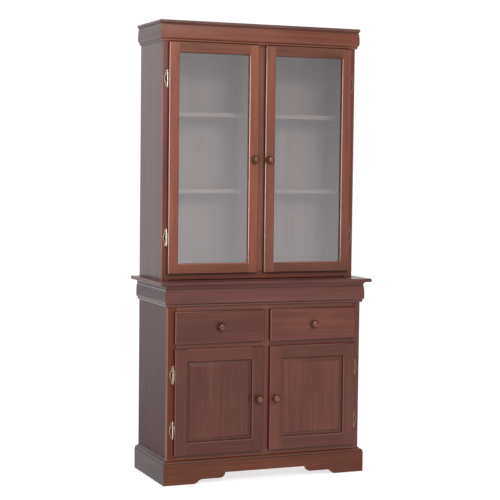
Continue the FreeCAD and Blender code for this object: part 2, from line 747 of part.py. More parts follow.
def knob(name, x, y, z):
    """A turned knob, revolved about the line that points out of its front.

    Rim and dome run into each other, and the dome is level at its middle.
    """
    body = start_body(name)
    crown_height = f"(knob_length - knob_crown_radius * tan({DOME_TURN / 2}))"
    rim_slope = DOME_TURN + RIM_TURN / 2
    rim_height = f"({crown_height} - (knob_radius - knob_crown_radius) * tan({rim_slope}))"
    sketch = start_sketch(body, "z", "0")
    draw_outline(sketch, [
        ("0", "-knob_length"),
        ("0", "0"),
        ("-knob_foot_radius", "0", FOOT_COVE_TURN),
        ("-knob_neck_radius", "-knob_neck_height", UNDERSIDE_TURN),
        ("-knob_radius", f"-{rim_height}", RIM_TURN),
        ("-knob_crown_radius", f"-{crown_height}", DOME_TURN),
    ])
    revolve(body, sketch)
    return place(body, x, y, z)


# ---------------------------------------------------------------------------------- door frames

# A door is modelled in its own frame: the middle of its bottom edge, at its back face.
BASE_DOOR = ("base_door_width", "base_door_height", "base_member_width")
HUTCH_DOOR = ("hutch_door_width", "hutch_door_height", "hutch_member_width")
GROOVE = ("groove_setback - front_thickness", "groove_setback + groove_width - front_thickness")
REBATE = ("-rebate_depth", "0")


def sight_bevel(body, width, height, member):
    """Bevel the arris that faces the pane or panel, all the way round the opening."""
    margin = "sight_bevel + cut_margin"
    pocket(body, "y", "-front_thickness - cut_margin", "sight_bevel - front_thickness",
           rectangle(f"{member} - {margin} - {width} / 2", f"{width} / 2 - {member} + {margin}",
                     f"{member} - ({margin})", f"{height} - {member} + {margin}"),
           taper=-QUARTER_TURN / 2)


def door_frame(name, width, height, member, channel, channel_depth):
    """Two stiles and two rails, channelled all round their inner edges for a panel or a pane.

    The rails' ends carry a tongue that fills the channels of the stiles.
    """
    members = []
    half_opening = f"({width} / 2 - {member})"
    half_channel = f"({half_opening} + {channel_depth})"
    for side in (LEFT, RIGHT):
        body = start_body(f"{name}_stile_{SIDE_NAMES[side]}")
        x = mirrored_span(side, half_opening, f"{width} / 2")
        pad(body, "z", "0", height, rectangle(*x, "-front_thickness", "0"))
        round_edges(body, "arris", f"{SIDE_NAMES[side]} front", "top front", "bottom front")
        groove = mirrored_span(side, f"{half_opening} - cut_margin", half_channel)
        pocket(body, "z", "0", height, rectangle(*groove, *channel))
        members.append(body)
    for end, low, high, groove in (
            ("bottom", "0", member, (f"{member} - {channel_depth}", member)),
            ("top", f"{height} - {member}", height,
             (f"{height} - {member}", f"{height} - {member} + {channel_depth}"))):
        body = start_body(f"{name}_rail_{end}")
        pad(body, "z", low, high,
            rectangle(f"-{half_opening}", half_opening, "-front_thickness", "0"))
        round_edges(body, "arris", f"{end} front")
        pad(body, "z", low, high, rectangle(f"-{half_channel}", half_channel, *channel))
        pocket(body, "z", *groove, rectangle(f"-{half_channel} - cut_margin",
                                             f"{half_channel} + cut_margin", *channel))
        members.append(body)
    for body in members:
        sight_bevel(body, width, height, member)
    return group(name, members)


def raised_panel(name, width, height, member):
    """A panel whose bevelled margin runs into the frame's grooves, round a raised field."""
    body = start_body(name)
    edge = f"({member} - groove_depth + pane_play)"
    field = f"({member} + field_margin)"
    field_face = "(groove_setback - front_thickness - field_rise)"

    def inset(margin):
        return rectangle(f"{margin} - {width} / 2", f"{width} / 2 - {margin}",
                         margin, f"{height} - {margin}")

    plate = pad(body, "y", field_face, GROOVE[1], inset(edge))
    document.recompute()
    bevel = body.newObject("PartDesign::Chamfer", body.Name + "_bevel")
    bevel.Base = (plate, edge_names(plate.Shape, "left front", "right front", "top front",
                                    "bottom front"))
    bevel.ChamferType = "Two distances"
    run = f"({field} - {edge})"
    bevel.setExpression("Size", formula(f"(field_rise + panel_ease) * {run} / field_margin"))
    bevel.setExpression("Size2", formula(run))
    pad(body, "y", f"{field_face} - field_step", field_face, inset(field))
    return body


def pane(name, width, height, member):
    """A sheet of glass that lies in the rebates."""
    edge = f"({member} - rebate_width + pane_play)"
    return board(name, (f"{edge} - {width} / 2", f"{width} / 2 - {edge}"),
                 ("-rebate_depth", "glass_thickness - rebate_depth"), (edge, f"{height} - {edge}"))


def glazing_beads(name, width, height, member):
    """Four square beads that hold the pane from behind: long ones between short ones."""
    edge = f"({member} - rebate_width)"
    y = ("glass_thickness - rebate_depth", "0")
    half = f"({width} / 2 - {edge})"
    across = (f"-{half}", half)
    upright = (member, f"{height} - {member}")
    return group(name, [
        board(f"{name}_bottom", across, y, (edge, member)),
        board(f"{name}_top", across, y, (f"{height} - {member}", f"{height} - {edge}")),
        board(f"{name}_left", (f"-{half}", f"rebate_width - {half}"), y, upright),
        board(f"{name}_right", (f"{half} - rebate_width", half), y, upright),
    ])


# --------------------------------------------------------------------------------------- hinges

# A hinge is modelled about the middle of its pin. Its barrel has five knuckles: the frame's
# leaf holds the end and middle ones, the door's leaf the two between them.
FRAME_KNUCKLES = (-2, 0, 2)
DOOR_KNUCKLES = (-1, 1)
LEAF_MIDDLE_TURN = 60
LEAF_END_TURN = -35
HALF_HINGE = "(hinge_height / 2)"


def knuckle_span(number, clearance="0"):
    return (f"({number} - 0.5) * knuckle_length - {clearance}",
            f"({number} + 0.5) * knuckle_length + {clearance}")


def leaf_outline(reach_middle, reach_end, half_height):
    """Straight along the pin, with a free edge that swells in the middle and dips to its ends."""
    shoulder = f"({half_height} / 2)"
    waist = f"({reach_middle} - {shoulder} * tan({LEAF_MIDDLE_TURN / 4}))"
    return [
        ("0", f"-{half_height}"),
        (reach_end, f"-{half_height}", LEAF_END_TURN),
        (waist, f"-{shoulder}", LEAF_MIDDLE_TURN),
        (waist, shoulder, LEAF_END_TURN),
        (reach_end, half_height),
        ("0", half_height),
    ]


def barrel(body, half_height, knuckles_cut):
    """A tube about the pin, with gaps where the other leaf's knuckles turn."""
    sketch = start_sketch(body, "z", f"-{half_height}")
    draw_circles(sketch, "knuckle_radius", [("0", "0")])
    tube = body.newObject("PartDesign::Pad", body.Name + "_barrel")
    tube.Profile = sketch
    tube.setExpression("Length", formula(f"2 * {half_height}"))
    for number in knuckles_cut:
        pocket(body, "z", *knuckle_span(number, "knuckle_clearance"),
               circles=("pin_offset", [("0", "0")]))
    pocket(body, "z", f"-{half_height}", half_height,
           circles=("hinge_pin_radius + hinge_pin_clearance", [("0", "0")]))


def frame_leaf(name, side):
    """The leaf on the frame's face, outside the door on the given side."""
    body = start_body(name)
    outline = leaf_outline("frame_leaf_width", "frame_leaf_end", HALF_HINGE)
    if side == LEFT:
        outline = mirrored_outline(outline)
    pad(body, "y", "pin_offset - leaf_thickness", "pin_offset", outline)
    barrel(body, HALF_HINGE, DOOR_KNUCKLES)
    return body


def door_leaf(name, side):
    """The leaf on the edge of the door, which lies inside the pin of the given side."""
    body = start_body(name)
    half_height = "(1.5 * knuckle_length - knuckle_clearance)"
    outline = leaf_outline("door_leaf_width", "door_leaf_end", half_height)
    plate = mirrored_span(-side, "pin_offset - leaf_thickness", "pin_offset")
    pad(body, "x", *plate, mirrored_outline(outline))
    barrel(body, half_height, FRAME_KNUCKLES)
    return body


def hinge_pin(name):
    """A pin with a domed cap on each end."""
    body = start_body(name)
    sketch = start_sketch(body, "y", "0")
    collar_end = f"({HALF_HINGE} + finial_collar)"
    draw_outline(sketch, [
        ("0", f"-({collar_end} + finial_radius)", QUARTER_TURN),
        ("finial_radius", f"-{collar_end}"),
        ("finial_radius", f"-{HALF_HINGE}"),
        ("hinge_pin_radius", f"-{HALF_HINGE}"),
        ("hinge_pin_radius", HALF_HINGE),
        ("finial_radius", HALF_HINGE),
        ("finial_radius", collar_end, QUARTER_TURN),
        ("0", f"{collar_end} + finial_radius"),
    ])
    revolve(body, sketch)
    return body


# ---------------------------------------------------------------------------- doors as hung

frame_leaves = []
hinge_pins = []


def hinge_places(side, face, front_outer, bottom, top, inset):
    """Where the pins of one door stand: lower and upper."""
    x = mirrored_span(side, f"{front_outer} + pin_offset", f"{front_outer} + pin_offset")[0]
    y = f"{face} - pin_offset"
    return [(x, y, f"{bottom} + {inset}"), (x, y, f"{top} - {inset}")]


def hang(door, side, face, front_outer, bottom, top, inset):
    """Two hinges for a door: its own leaves are a node, the rest joins the carcass."""
    door_leaves = []
    for spot in hinge_places(side, face, front_outer, bottom, top, inset):
        frame_leaves.append(place(frame_leaf(f"{door}_frame_leaf", side), *spot))
        hinge_pins.append(place(hinge_pin(f"{door}_pin"), *spot))
        door_leaves.append(place(door_leaf(f"{door}_leaf", side), *spot))
    keep(group(f"{door}_hinge_leaves", door_leaves))


def mirrored(side, text):
    return text if side == RIGHT else f"-({text})"


for side in (LEFT, RIGHT):
    door = f"base_door_{SIDE_NAMES[side]}"
    spot = (mirrored(side, "base_door_middle"), "base_face - front_gap", "base_door_bottom")
    keep(
        place(door_frame(f"{door}_frame", *BASE_DOOR, GROOVE, "groove_depth"), *spot),
        place(raised_panel(f"{door}_panel", *BASE_DOOR), *spot),
        knob(f"{door}_knob", mirrored(side, "base_front_inner + base_knob_inset"),
             "base_face - front_gap - front_thickness", "base_door_bottom + base_door_height / 2"),
    )
    hang(door, side, "base_face", "base_front_outer", "base_door_bottom", "base_door_top",
         "base_hinge_inset")

    door = f"hutch_door_{SIDE_NAMES[side]}"
    spot = (mirrored(side, "hutch_door_middle"), "hutch_face - front_gap", "hutch_door_bottom")
    keep(
        place(door_frame(f"{door}_frame", *HUTCH_DOOR, REBATE, "rebate_width"), *spot),
        place(group(f"{door}_glass", [pane(f"{door}_pane", *HUTCH_DOOR)]), *spot),
        place(glazing_beads(f"{door}_beads", *HUTCH_DOOR), *spot),
        knob(f"{door}_knob", mirrored(side, "hutch_front_inner + hutch_knob_inset"),
             "hutch_face - front_gap - front_thickness",
             "hutch_door_bottom + hutch_door_height / 2"),
    )
    hang(door, side, "hutch_face", "hutch_front_outer", "hutch_door_bottom", "hutch_door_top",
         "hutch_hinge_inset")
keep(group("hinge_frame_leaves", frame_leaves), group("hinge_pins", hinge_pins))

# Magnetic catches stand on both sides of each middle stile, just clear of the closed doors.


def catch(name, side, opening_inner, face, door_top):
    body = start_body(name)
    x = mirrored_span(side, opening_inner, f"{opening_inner} + catch_width")
    front = f"{face} - front_gap + catch_gap"
    middle = f"{door_top} - catch_drop"
    pad(body, "z", f"{middle} - catch_height / 2", f"{middle} + catch_height / 2",
        rectangle(*x, front, f"{front} + catch_depth"))
    round_edges(body, "catch_arris", f"{SIDE_NAMES[side]} top", f"{SIDE_NAMES[side]} bottom")
    return body


keep(group("door_catches", [
    catch(f"{tier}_catch_{SIDE_NAMES[side]}", side, f"{tier}_opening_inner", f"{tier}_face",
          f"{tier}_door_top")
    for tier in ("base", "hutch") for side in (LEFT, RIGHT)]))

# -------------------------------------------------------------------------------------- drawers

# A drawer is modelled in its own frame: the middle of its front's bottom edge, at its back.
box_foot = "(overlay + drawer_box_rise)"
box_top = f"({box_foot} + drawer_box_height)"
box_half = "(drawer_box_width / 2)"
box_inner_half = f"({box_half} - drawer_side_thickness)"
floor_bottom = f"({box_foot} + drawer_bottom_rise)"
floor_top = f"({floor_bottom} + drawer_bottom_thickness)"
floor_edge = f"({box_inner_half} + drawer_groove_depth)"
floor_front = "(drawer_side_thickness - drawer_groove_depth)"


def drawer_side(name, side):
    """A side of the box, grooved inside for the bottom and outside for the runner."""
    body = start_body(name)
    pad(body, "y", "0", "drawer_depth",
        rectangle(*mirrored_span(side, box_inner_half, box_half), box_foot, box_top))
    pocket(body, "y", "0", "drawer_depth",
           rectangle(*mirrored_span(side, f"{box_inner_half} - cut_margin", floor_edge),
                     floor_bottom, floor_top))
    groove_bottom = f"({box_foot} + (drawer_box_height - runner_height) / 2 - runner_clearance)"
    pocket(body, "y", "frame_thickness + front_gap - runner_clearance", "drawer_depth",
           rectangle(*mirrored_span(side, f"{box_half} - runner_bite",
                                    f"{box_half} + cut_margin"),
                     groove_bottom, f"{groove_bottom} + runner_height + 2 * runner_clearance"))
    return body


def drawer_box(name):
    """Sides, front, back and bottom. The back stands on the bottom, which slides in under it."""
    across = (f"-{box_inner_half}", box_inner_half)
    front = start_body(f"{name}_front")
    pad(front, "z", box_foot, box_top, rectangle(*across, "0", "drawer_side_thickness"))
    pocket(front, "z", floor_bottom, floor_top,
           rectangle(f"-{box_half}", box_half, floor_front,
                     "drawer_side_thickness + cut_margin"))
    return group(name, [
        drawer_side(f"{name}_left", LEFT),
        drawer_side(f"{name}_right", RIGHT),
        front,
        board(f"{name}_back", across, ("drawer_depth - drawer_side_thickness", "drawer_depth"),
              (floor_top, box_top)),
        board(f"{name}_bottom", (f"-{floor_edge}", floor_edge), (floor_front, "drawer_depth"),
              (floor_bottom, floor_top)),
    ])


for side in (LEFT, RIGHT):
    drawer = f"drawer_{SIDE_NAMES[side]}"
    middle = mirrored(side, "base_door_middle")
    spot = (middle, "base_face - front_gap", "drawer_bottom")
    front = board(f"{drawer}_front", ("-base_door_width / 2", "base_door_width / 2"),
                  ("-front_thickness", "0"), ("0", "drawer_height"),
                  ("left front", "right front", "top front", "bottom front"))
    keep(
        place(front, *spot),
        place(drawer_box(f"{drawer}_box"), *spot),
        knob(f"{drawer}_knob", middle, "base_face - front_gap - front_thickness",
             "drawer_bottom + drawer_height / 2"),
    )

# --------------------------------------------------------------------------------------- export

document.recompute()
for item in document.Objects:
    if "Invalid" in item.State or "Error" in item.State:
        raise RuntimeError(f"{item.Name} failed: {item.State}")
for node in nodes:
    if node.Shape.isNull() or not node.Shape.isValid() or not node.Shape.Solids:
        raise RuntimeError(f"{node.Label} has no sound solid")

os.makedirs(PARTS_FOLDER, exist_ok=True)
for node in nodes:
    node.Shape.exportStep(os.path.join(PARTS_FOLDER, node.Label + ".step"))
    print(f"{node.Label}: {len(node.Shape.Solids)} solids, {node.Shape.Volume / 1000:.1f} cm3")
print(f"{len(nodes)} sub-parts")
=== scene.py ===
import math

import bpy
import numpy as np
from mathutils import Matrix, Vector


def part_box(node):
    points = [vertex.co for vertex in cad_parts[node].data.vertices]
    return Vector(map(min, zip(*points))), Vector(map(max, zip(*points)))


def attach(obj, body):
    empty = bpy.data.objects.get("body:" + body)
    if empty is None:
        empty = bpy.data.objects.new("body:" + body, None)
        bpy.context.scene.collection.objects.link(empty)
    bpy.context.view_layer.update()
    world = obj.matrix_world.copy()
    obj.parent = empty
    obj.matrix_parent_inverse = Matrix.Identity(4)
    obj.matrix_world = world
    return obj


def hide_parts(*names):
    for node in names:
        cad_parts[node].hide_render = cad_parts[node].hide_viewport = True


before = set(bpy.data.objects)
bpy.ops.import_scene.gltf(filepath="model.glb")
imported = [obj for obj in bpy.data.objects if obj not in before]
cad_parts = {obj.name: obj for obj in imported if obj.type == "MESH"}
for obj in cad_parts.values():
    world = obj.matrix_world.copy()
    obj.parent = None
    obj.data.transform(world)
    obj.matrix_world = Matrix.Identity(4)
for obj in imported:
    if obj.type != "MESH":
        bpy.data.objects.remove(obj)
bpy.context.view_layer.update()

# The looks of a dresser with hutch: every board, moulding, knob and hinge of the carcass, its
# doors and drawers, finished in red-brown stain and clear lacquer. Metres, +Z up, +Y to the back.

# ---- camera, floor and light ----
# The piece stands on a plain pale floor in a white studio. It is seen from the left, a little
# above half its height, by a long lens whose roll is a hair off level.

CAMERA_PLACE = Vector((-2.41863, -5.88814, 1.37633))
CAMERA_TURN = math.radians(22.2472)
CAMERA_TILT = math.radians(-3.3811)
CAMERA_ROLL = math.radians(0.6648)
FILM_WIDTH = 36.0
LENS = 102.0

look = Vector((math.sin(CAMERA_TURN) * math.cos(CAMERA_TILT),
               math.cos(CAMERA_TURN) * math.cos(CAMERA_TILT), math.sin(CAMERA_TILT)))
level = Vector((math.cos(CAMERA_TURN), -math.sin(CAMERA_TURN), 0))
plumb = level.cross(look)
right = level * math.cos(CAMERA_ROLL) + plumb * math.sin(CAMERA_ROLL)
upright = plumb * math.cos(CAMERA_ROLL) - level * math.sin(CAMERA_ROLL)
camera_data = bpy.data.cameras.new("camera")
camera_data.sensor_width = FILM_WIDTH
camera_data.lens = LENS
camera = bpy.data.objects.new("camera", camera_data)
turned = Matrix((right, upright, -look)).transposed().to_4x4()
camera.matrix_world = Matrix.Translation(CAMERA_PLACE) @ turned
bpy.context.scene.collection.objects.link(camera)
bpy.context.scene.camera = camera
bpy.context.scene.view_settings.view_transform = "Standard"


def feed(tree, target, **sockets):
    """Give a node's input sockets, by name or by number, a value, an output or a node's first one."""
    for name, value in sockets.items():
        socket = target.inputs[int(name[1:]) if name[0] == "_" else name.replace("_", " ")]
        value = value.outputs[0] if isinstance(value, bpy.types.Node) else value
        if isinstance(value, bpy.types.NodeSocket):
            tree.links.new(value, socket)
        else:
            socket.default_value = value


def node(tree, kind, settings=None, **sockets):
    """A new shader node with some of its settings and input sockets set."""
    made = tree.nodes.new(f"ShaderNode{kind}")
    for name, value in (settings or {}).items():
        setattr(made, name, value)
    feed(tree, made, **sockets)
    return made


def new_material(name):
    """The node tree and the shader of a new material."""
    material = bpy.data.materials.new(name)
    material.use_nodes = True
    return material.node_tree, material.node_tree.nodes["Principled BSDF"]


WHITE = (1, 1, 1, 1)
FLOOR_HALF = 7.0
FLOOR_COLOUR = (0.34, 0.34, 0.34, 1)
FLOOR_GLOW = 0.7
floor_corners = [(FLOOR_HALF * x, FLOOR_HALF * y, 0) for x, y in ((-1, -1), (1, -1), (1, 1), (-1, 1))]
floor_mesh = bpy.data.meshes.new("studio_floor")
floor_mesh.from_pydata(floor_corners, [], [(0, 1, 2, 3)])
paper_tree, paper_shader = new_material("floor_paper")
feed(paper_tree, paper_shader, Base_Color=FLOOR_COLOUR, Roughness=0.9, Specular_IOR_Level=0.1,
     Emission_Color=WHITE, Emission_Strength=FLOOR_GLOW)
floor_mesh.materials.append(bpy.data.materials["floor_paper"])
studio_floor = bpy.data.objects.new("studio_floor", floor_mesh)
bpy.context.scene.collection.objects.link(studio_floor)

# White paper hangs behind the piece and a bright window stands in front of it to the right. The
# rest of the room is dim under a lighter ceiling. Each light rises over a span of the direction's
# share towards it.
PAPER_LIGHT, CEILING_LIGHT, WINDOW_LIGHT, ROOM_LIGHT = 1.05, 0.85, 1.25, 0.28
PAPER_RISE, CEILING_RISE, WINDOW_RISE = (0.5, 0.84), (0.15, 0.8), (0.899, 0.99)
WINDOW_COLOUR = (1.0, 0.94, 0.98, 1)
WINDOW_WAY = Vector((0.25, -0.94, -0.22)).normalized()
world = bpy.data.worlds.new("studio")
bpy.context.scene.world = world
world.use_nodes = True
sky = world.node_tree
direction = node(sky, "TexCoord").outputs["Generated"]


def sky_light(source, rise, dim, bright):
    """Light that goes smoothly from dim to bright as source goes through rise."""
    return node(sky, "MapRange", {"interpolation_type": "SMOOTHSTEP"}, Value=source,
                From_Min=rise[0], From_Max=rise[1], To_Min=dim, To_Max=bright)


parts = node(sky, "SeparateXYZ", _0=direction)
walls = node(sky, "Math", _0=sky_light(parts.outputs["Y"], PAPER_RISE, ROOM_LIGHT, PAPER_LIGHT),
             _1=sky_light(parts.outputs["Z"], CEILING_RISE, 0.0, CEILING_LIGHT))
towards_window = node(sky, "VectorMath", {"operation": "DOT_PRODUCT"}, _0=direction, _1=WINDOW_WAY)
window = node(sky, "Background", Color=WINDOW_COLOUR,
              Strength=sky_light(towards_window.outputs["Value"], WINDOW_RISE, 0.0, WINDOW_LIGHT))
room = sky.nodes["Background"]
feed(sky, room, Color=WHITE, Strength=walls)
both = node(sky, "AddShader", _0=room, _1=window)
feed(sky, sky.nodes["World Output"], Surface=both)


def soft_light(name, place, aim, width, height, watts):
    """A rectangular lamp that stands at place and shines at aim."""
    lamp = bpy.data.lights.new(name, "AREA")
    lamp.shape = "RECTANGLE"
    lamp.size = width
    lamp.size_y = height
    lamp.energy = watts
    stand = bpy.data.objects.new(name, lamp)
    stand.location = place
    stand.rotation_euler = (Vector(aim) - Vector(place)).to_track_quat("-Z", "Y").to_euler()
    bpy.context.scene.collection.objects.link(stand)


# The main light is high in front. A tall one far to the left draws a bright line down the
# bevels that face it.
soft_light("key_softbox", place=(0.2, -5.4, 3.5), aim=(0, 0, 1.1), width=1.6, height=1.2, watts=168)
soft_light("tall_softbox", place=(-3.15, -1.35, 1.45), aim=(0, -0.1, 1.45), width=1.1, height=1.4,
           watts=42)

# ---- side panels ----
# Four plain panels, two to the base and two to the hutch: veneered board, stained red-brown
# and lacquered, with the grain upright and the corners just eased.

EASE = 0.0007
ARC_STEPS = 3
SHARP = math.radians(38)
ALONG_X, ALONG_Y, ALONG_Z = 0, 1, 2
BOARD_SPREAD = 9.0
BOARD_TONES = (0.45, 0.85)
ROUND_SHARE = 0.25
DRAWS_SEED = 11
draws = np.random.default_rng(DRAWS_SEED)


def rounded_outline(corners, steps=ARC_STEPS):
    """Points and outward normals of an anticlockwise outline with a radius at each corner.

    With n and m the normals of the two edges at a corner and r its radius (negative where the
    corner is hollow), the arc's centre is corner - r (n + m) / (1 + n.m), and its points are
    centre + r (n turned towards m).
    """
    corners = np.array(corners, float)
    places, radius = corners[:, :2], corners[:, 2]
    edge = np.roll(places, -1, axis=0) - places
    edge /= np.linalg.norm(edge, axis=1)[:, None]
    leaving = np.stack([edge[:, 1], -edge[:, 0]], axis=1)
    arriving = np.roll(leaving, 1, axis=0)
    bend = np.arctan2(arriving[:, 0] * leaving[:, 1] - arriving[:, 1] * leaving[:, 0],
                      (arriving * leaving).sum(1))
    signed = radius * np.sign(bend)
    centre = places - signed[:, None] * (arriving + leaving) / (1 + np.cos(bend))[:, None]
    angle = (np.arctan2(arriving[:, 1], arriving[:, 0])[:, None]
             + bend[:, None] * np.linspace(0, 1, steps + 1))
    normals = np.stack([np.cos(angle), np.sin(angle)], axis=-1)
    points = centre[:, None] + signed[:, None, None] * normals
    return points.reshape(-1, 2), normals.reshape(-1, 2)


def circle(sides):
    """The cosines and sines of evenly spaced angles all round."""
    angle = np.linspace(0, 2 * math.pi, sides, endpoint=False)
    return np.cos(angle), np.sin(angle)


def roundness(normals):
    """How far points lie on a round, by their normals: 0 where flat, 1 well into the round."""
    return np.clip((1 - np.abs(normals).max(1)) / ROUND_SHARE, 0, 1)


def rectangle(left, foot, right, head, radii):
    """Its corners, anticlockwise from the low, low one, each with its radius."""
    return list(zip((left, right, right, left), (foot, foot, head, head), radii))


class Shell:
    """A closed skin: rings of points along a path, with a flat face on the first and last ring.

    Where bored is true the last ring joins the first instead, which leaves a hole through. run
    holds each point's place in the board it is cut from: along the grain, across, through.
    Two shares, 0 to 1, change each point's colour. The first stands for arris rubbing, and is also a
    painted highlight where it is set only on the lit side or up a panel; the second is painted
    shade in corners, creases, gaps and on faces turned from the light. finish picks one of the
    piece's materials.
    """

    def __init__(self, points, grain, rubbing_and_highlight=0.0, painted_shade=0.0, finish=0, bored=False):
        self.points = np.asarray(points, float)
        order = [grain, (grain + 1) % 3, (grain + 2) % 3]
        self.run = self.points[..., order] + draws.uniform(-BOARD_SPREAD, BOARD_SPREAD, 3)
        self.tone = draws.uniform(*BOARD_TONES)
        self.rubbing_and_highlight = np.broadcast_to(rubbing_and_highlight, self.points.shape[:2])
        self.painted_shade = np.broadcast_to(painted_shade, self.points.shape[:2])
        self.finish = finish
        self.bored = bored


def straight_run(section, low, high, axis, ease=EASE):
    """Carry a section (points, normals) from low to high along an axis.

    The last stretch of each end closes in by ease (1 - cos a) while it runs ease (1 - sin a)
    short of the end, for a from 0 to 90 degrees, so the end's arrises are round.
    """
    points, normals = section
    angle = np.linspace(0, math.pi / 2, ARC_STEPS + 1)
    inset = ease * (1 - np.cos(angle))
    short = ease * (1 - np.sin(angle))
    insets = np.concatenate([inset[::-1], inset])
    across = points[None] - insets[:, None, None] * normals[None]
    grid = np.empty(across.shape[:2] + (3,))
    grid[..., axis] = np.concatenate([low + short[::-1], high - short])[:, None]
    grid[..., (axis + 1) % 3] = across[..., 0]
    grid[..., (axis + 2) % 3] = across[..., 1]
    return Shell(grid, axis, roundness(normals))


def planed_board(low, high, grain, radii=(EASE,) * 4, ease=EASE):
    """A board between two corners of its box, with a radius on each of its four long corners.

    The radii go round the section from its low, low corner: with the grain along X the section
    is (y, z), along Y (z, x), and along Z (x, y).
    """
    b, c = (grain + 1) % 3, (grain + 2) % 3
    section = rounded_outline(rectangle(low[b], low[c], high[b], high[c], radii))
    return straight_run(section, low[grain], high[grain], grain, ease)


def split_board(cad, grain, axis, stop, start):
    """A node's two boards, cut across an axis: one ends at stop, the other begins at start."""
    low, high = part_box(cad)
    near, far = list(high), list(low)
    near[axis], far[axis] = stop, start
    return [planed_board(low, near, grain), planed_board(far, high, grain)]


def shell_faces(shell, first):
    """Quads between neighbouring rings and one face on each end, turned to face outwards."""
    rings, around = shell.points.shape[:2]
    index = first + np.arange(rings * around).reshape(rings, around)
    if shell.bored:
        index = np.concatenate([index, index[:1]])
    beside = np.roll(index, -1, axis=1)
    quads = np.stack([index[:-1], beside[:-1], beside[1:], index[1:]], axis=-1).reshape(-1, 4)
    flat = shell.points.reshape(-1, 3)
    a, b, c, d = (flat[quads[:, k] - first] for k in range(4))
    swept = (np.einsum("ij,ij->i", a, np.cross(b, c)) + np.einsum("ij,ij->i", a, np.cross(c, d))).sum()
    faces = quads.tolist()
    if not shell.bored:
        for ring, sign in ((shell.points[0], -1), (shell.points[-1], 1)):
            fan = np.cross(ring, np.roll(ring, -1, axis=0))
            swept += sign * (fan @ ring.mean(0)).sum()
        faces += [index[0][::-1].tolist(), index[-1].tolist()]
    return faces if swept > 0 else [face[::-1] for face in faces]


def make_piece(name, cad, shells, finishes, body="carcass"):
    """Join shells into one object that rides on a body and stands for a CAD node.

    finishes names its materials.
    """
    faces, finish_of = [], []
    first = 0
    for shell in shells:
        made = shell_faces(shell, first)
        faces += made
        finish_of += [shell.finish] * len(made)
        first += shell.rubbing_and_highlight.size
    mesh = bpy.data.meshes.new(name)
    mesh.from_pydata(np.concatenate([s.points.reshape(-1, 3) for s in shells]).tolist(), [], faces)
    runs = [s.run.reshape(-1, 3) for s in shells]
    looks = [np.stack([np.full(s.rubbing_and_highlight.size, s.tone), s.rubbing_and_highlight.ravel(), s.painted_shade.ravel()], axis=1)
             for s in shells]
    for attribute, values in (("grain_run", runs), ("board_look", looks)):
        made = mesh.attributes.new(attribute, "FLOAT_VECTOR", "POINT")
        made.data.foreach_set("vector", np.concatenate(values).ravel())
    for finish in finishes:
        mesh.materials.append(bpy.data.materials[finish])
    mesh.polygons.foreach_set("material_index", finish_of)
    mesh.shade_smooth()
    mesh.set_sharp_from_angle(angle=SHARP)
    piece = bpy.data.objects.new(name, mesh)
    bpy.context.scene.collection.objects.link(piece)
    shading = piece.modifiers.new("flat_faces_stay_flat", "WEIGHTED_NORMAL")
    shading.keep_sharp = True
    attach(piece, body)
    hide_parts(cad)
    return piece


def mix(tree, first, second, share, kind="FLOAT"):
    """Blend from first to second by share: two values, or two colours where kind is RGBA."""
    blend = node(tree, "Mix", {"data_type": kind}, Factor=share, A=first, B=second)
    return blend.outputs["Result"]


def colour_ramp(tree, source, *stops):
    """The colour at source, between stops that are each a place and a colour."""
    ramp = node(tree, "ValToRGB", Fac=source)
    elements = ramp.color_ramp.elements
    for element, (place, colour) in zip(elements, (stops[0], stops[-1])):
        element.position = place
        element.color = (*colour, 1)
    for place, colour in stops[1:-1]:
        elements.new(place).color = (*colour, 1)
    return ramp


def board_look(tree):
    """The tone, the share of arris rubbing and painted highlight, and the share of painted shade that
    make_piece wrote on the mesh.
    """
    look = node(tree, "Attribute", {"attribute_name": "board_look"})
    return node(tree, "SeparateXYZ", _0=look.outputs["Vector"]).outputs


# Each noise in the wood: its scale along the grain and across it, its detail and its roughness.
BLOTCH, FIGURE = (3.0, 6.0, 2.0, 0.5), (1.1, 17.0, 4.0, 0.55)
STREAK, PORE = (2.6, 85.0, 3.0, 0.6), (24.0, 900.0, 2.0, 0.5)
FIGURE_SHARE, STREAK_SHARE, PORE_SHARE = 0.5, 0.36, 0.16
DARK_AT, MIDDLE_AT, LIGHT_AT = 0.36, 0.5, 0.66
TONE_LOW, TONE_HIGH = 0.68, 1.18
# How much paler than the light colour the painted highlight is, unless one is given, and how much darker
# than the dark colour the painted shade is.
HIGHLIGHT_GAIN, PAINTED_SHADE_GAIN = 1.5, 0.25
RUBBING_AND_HIGHLIGHT_COAT = 0.9


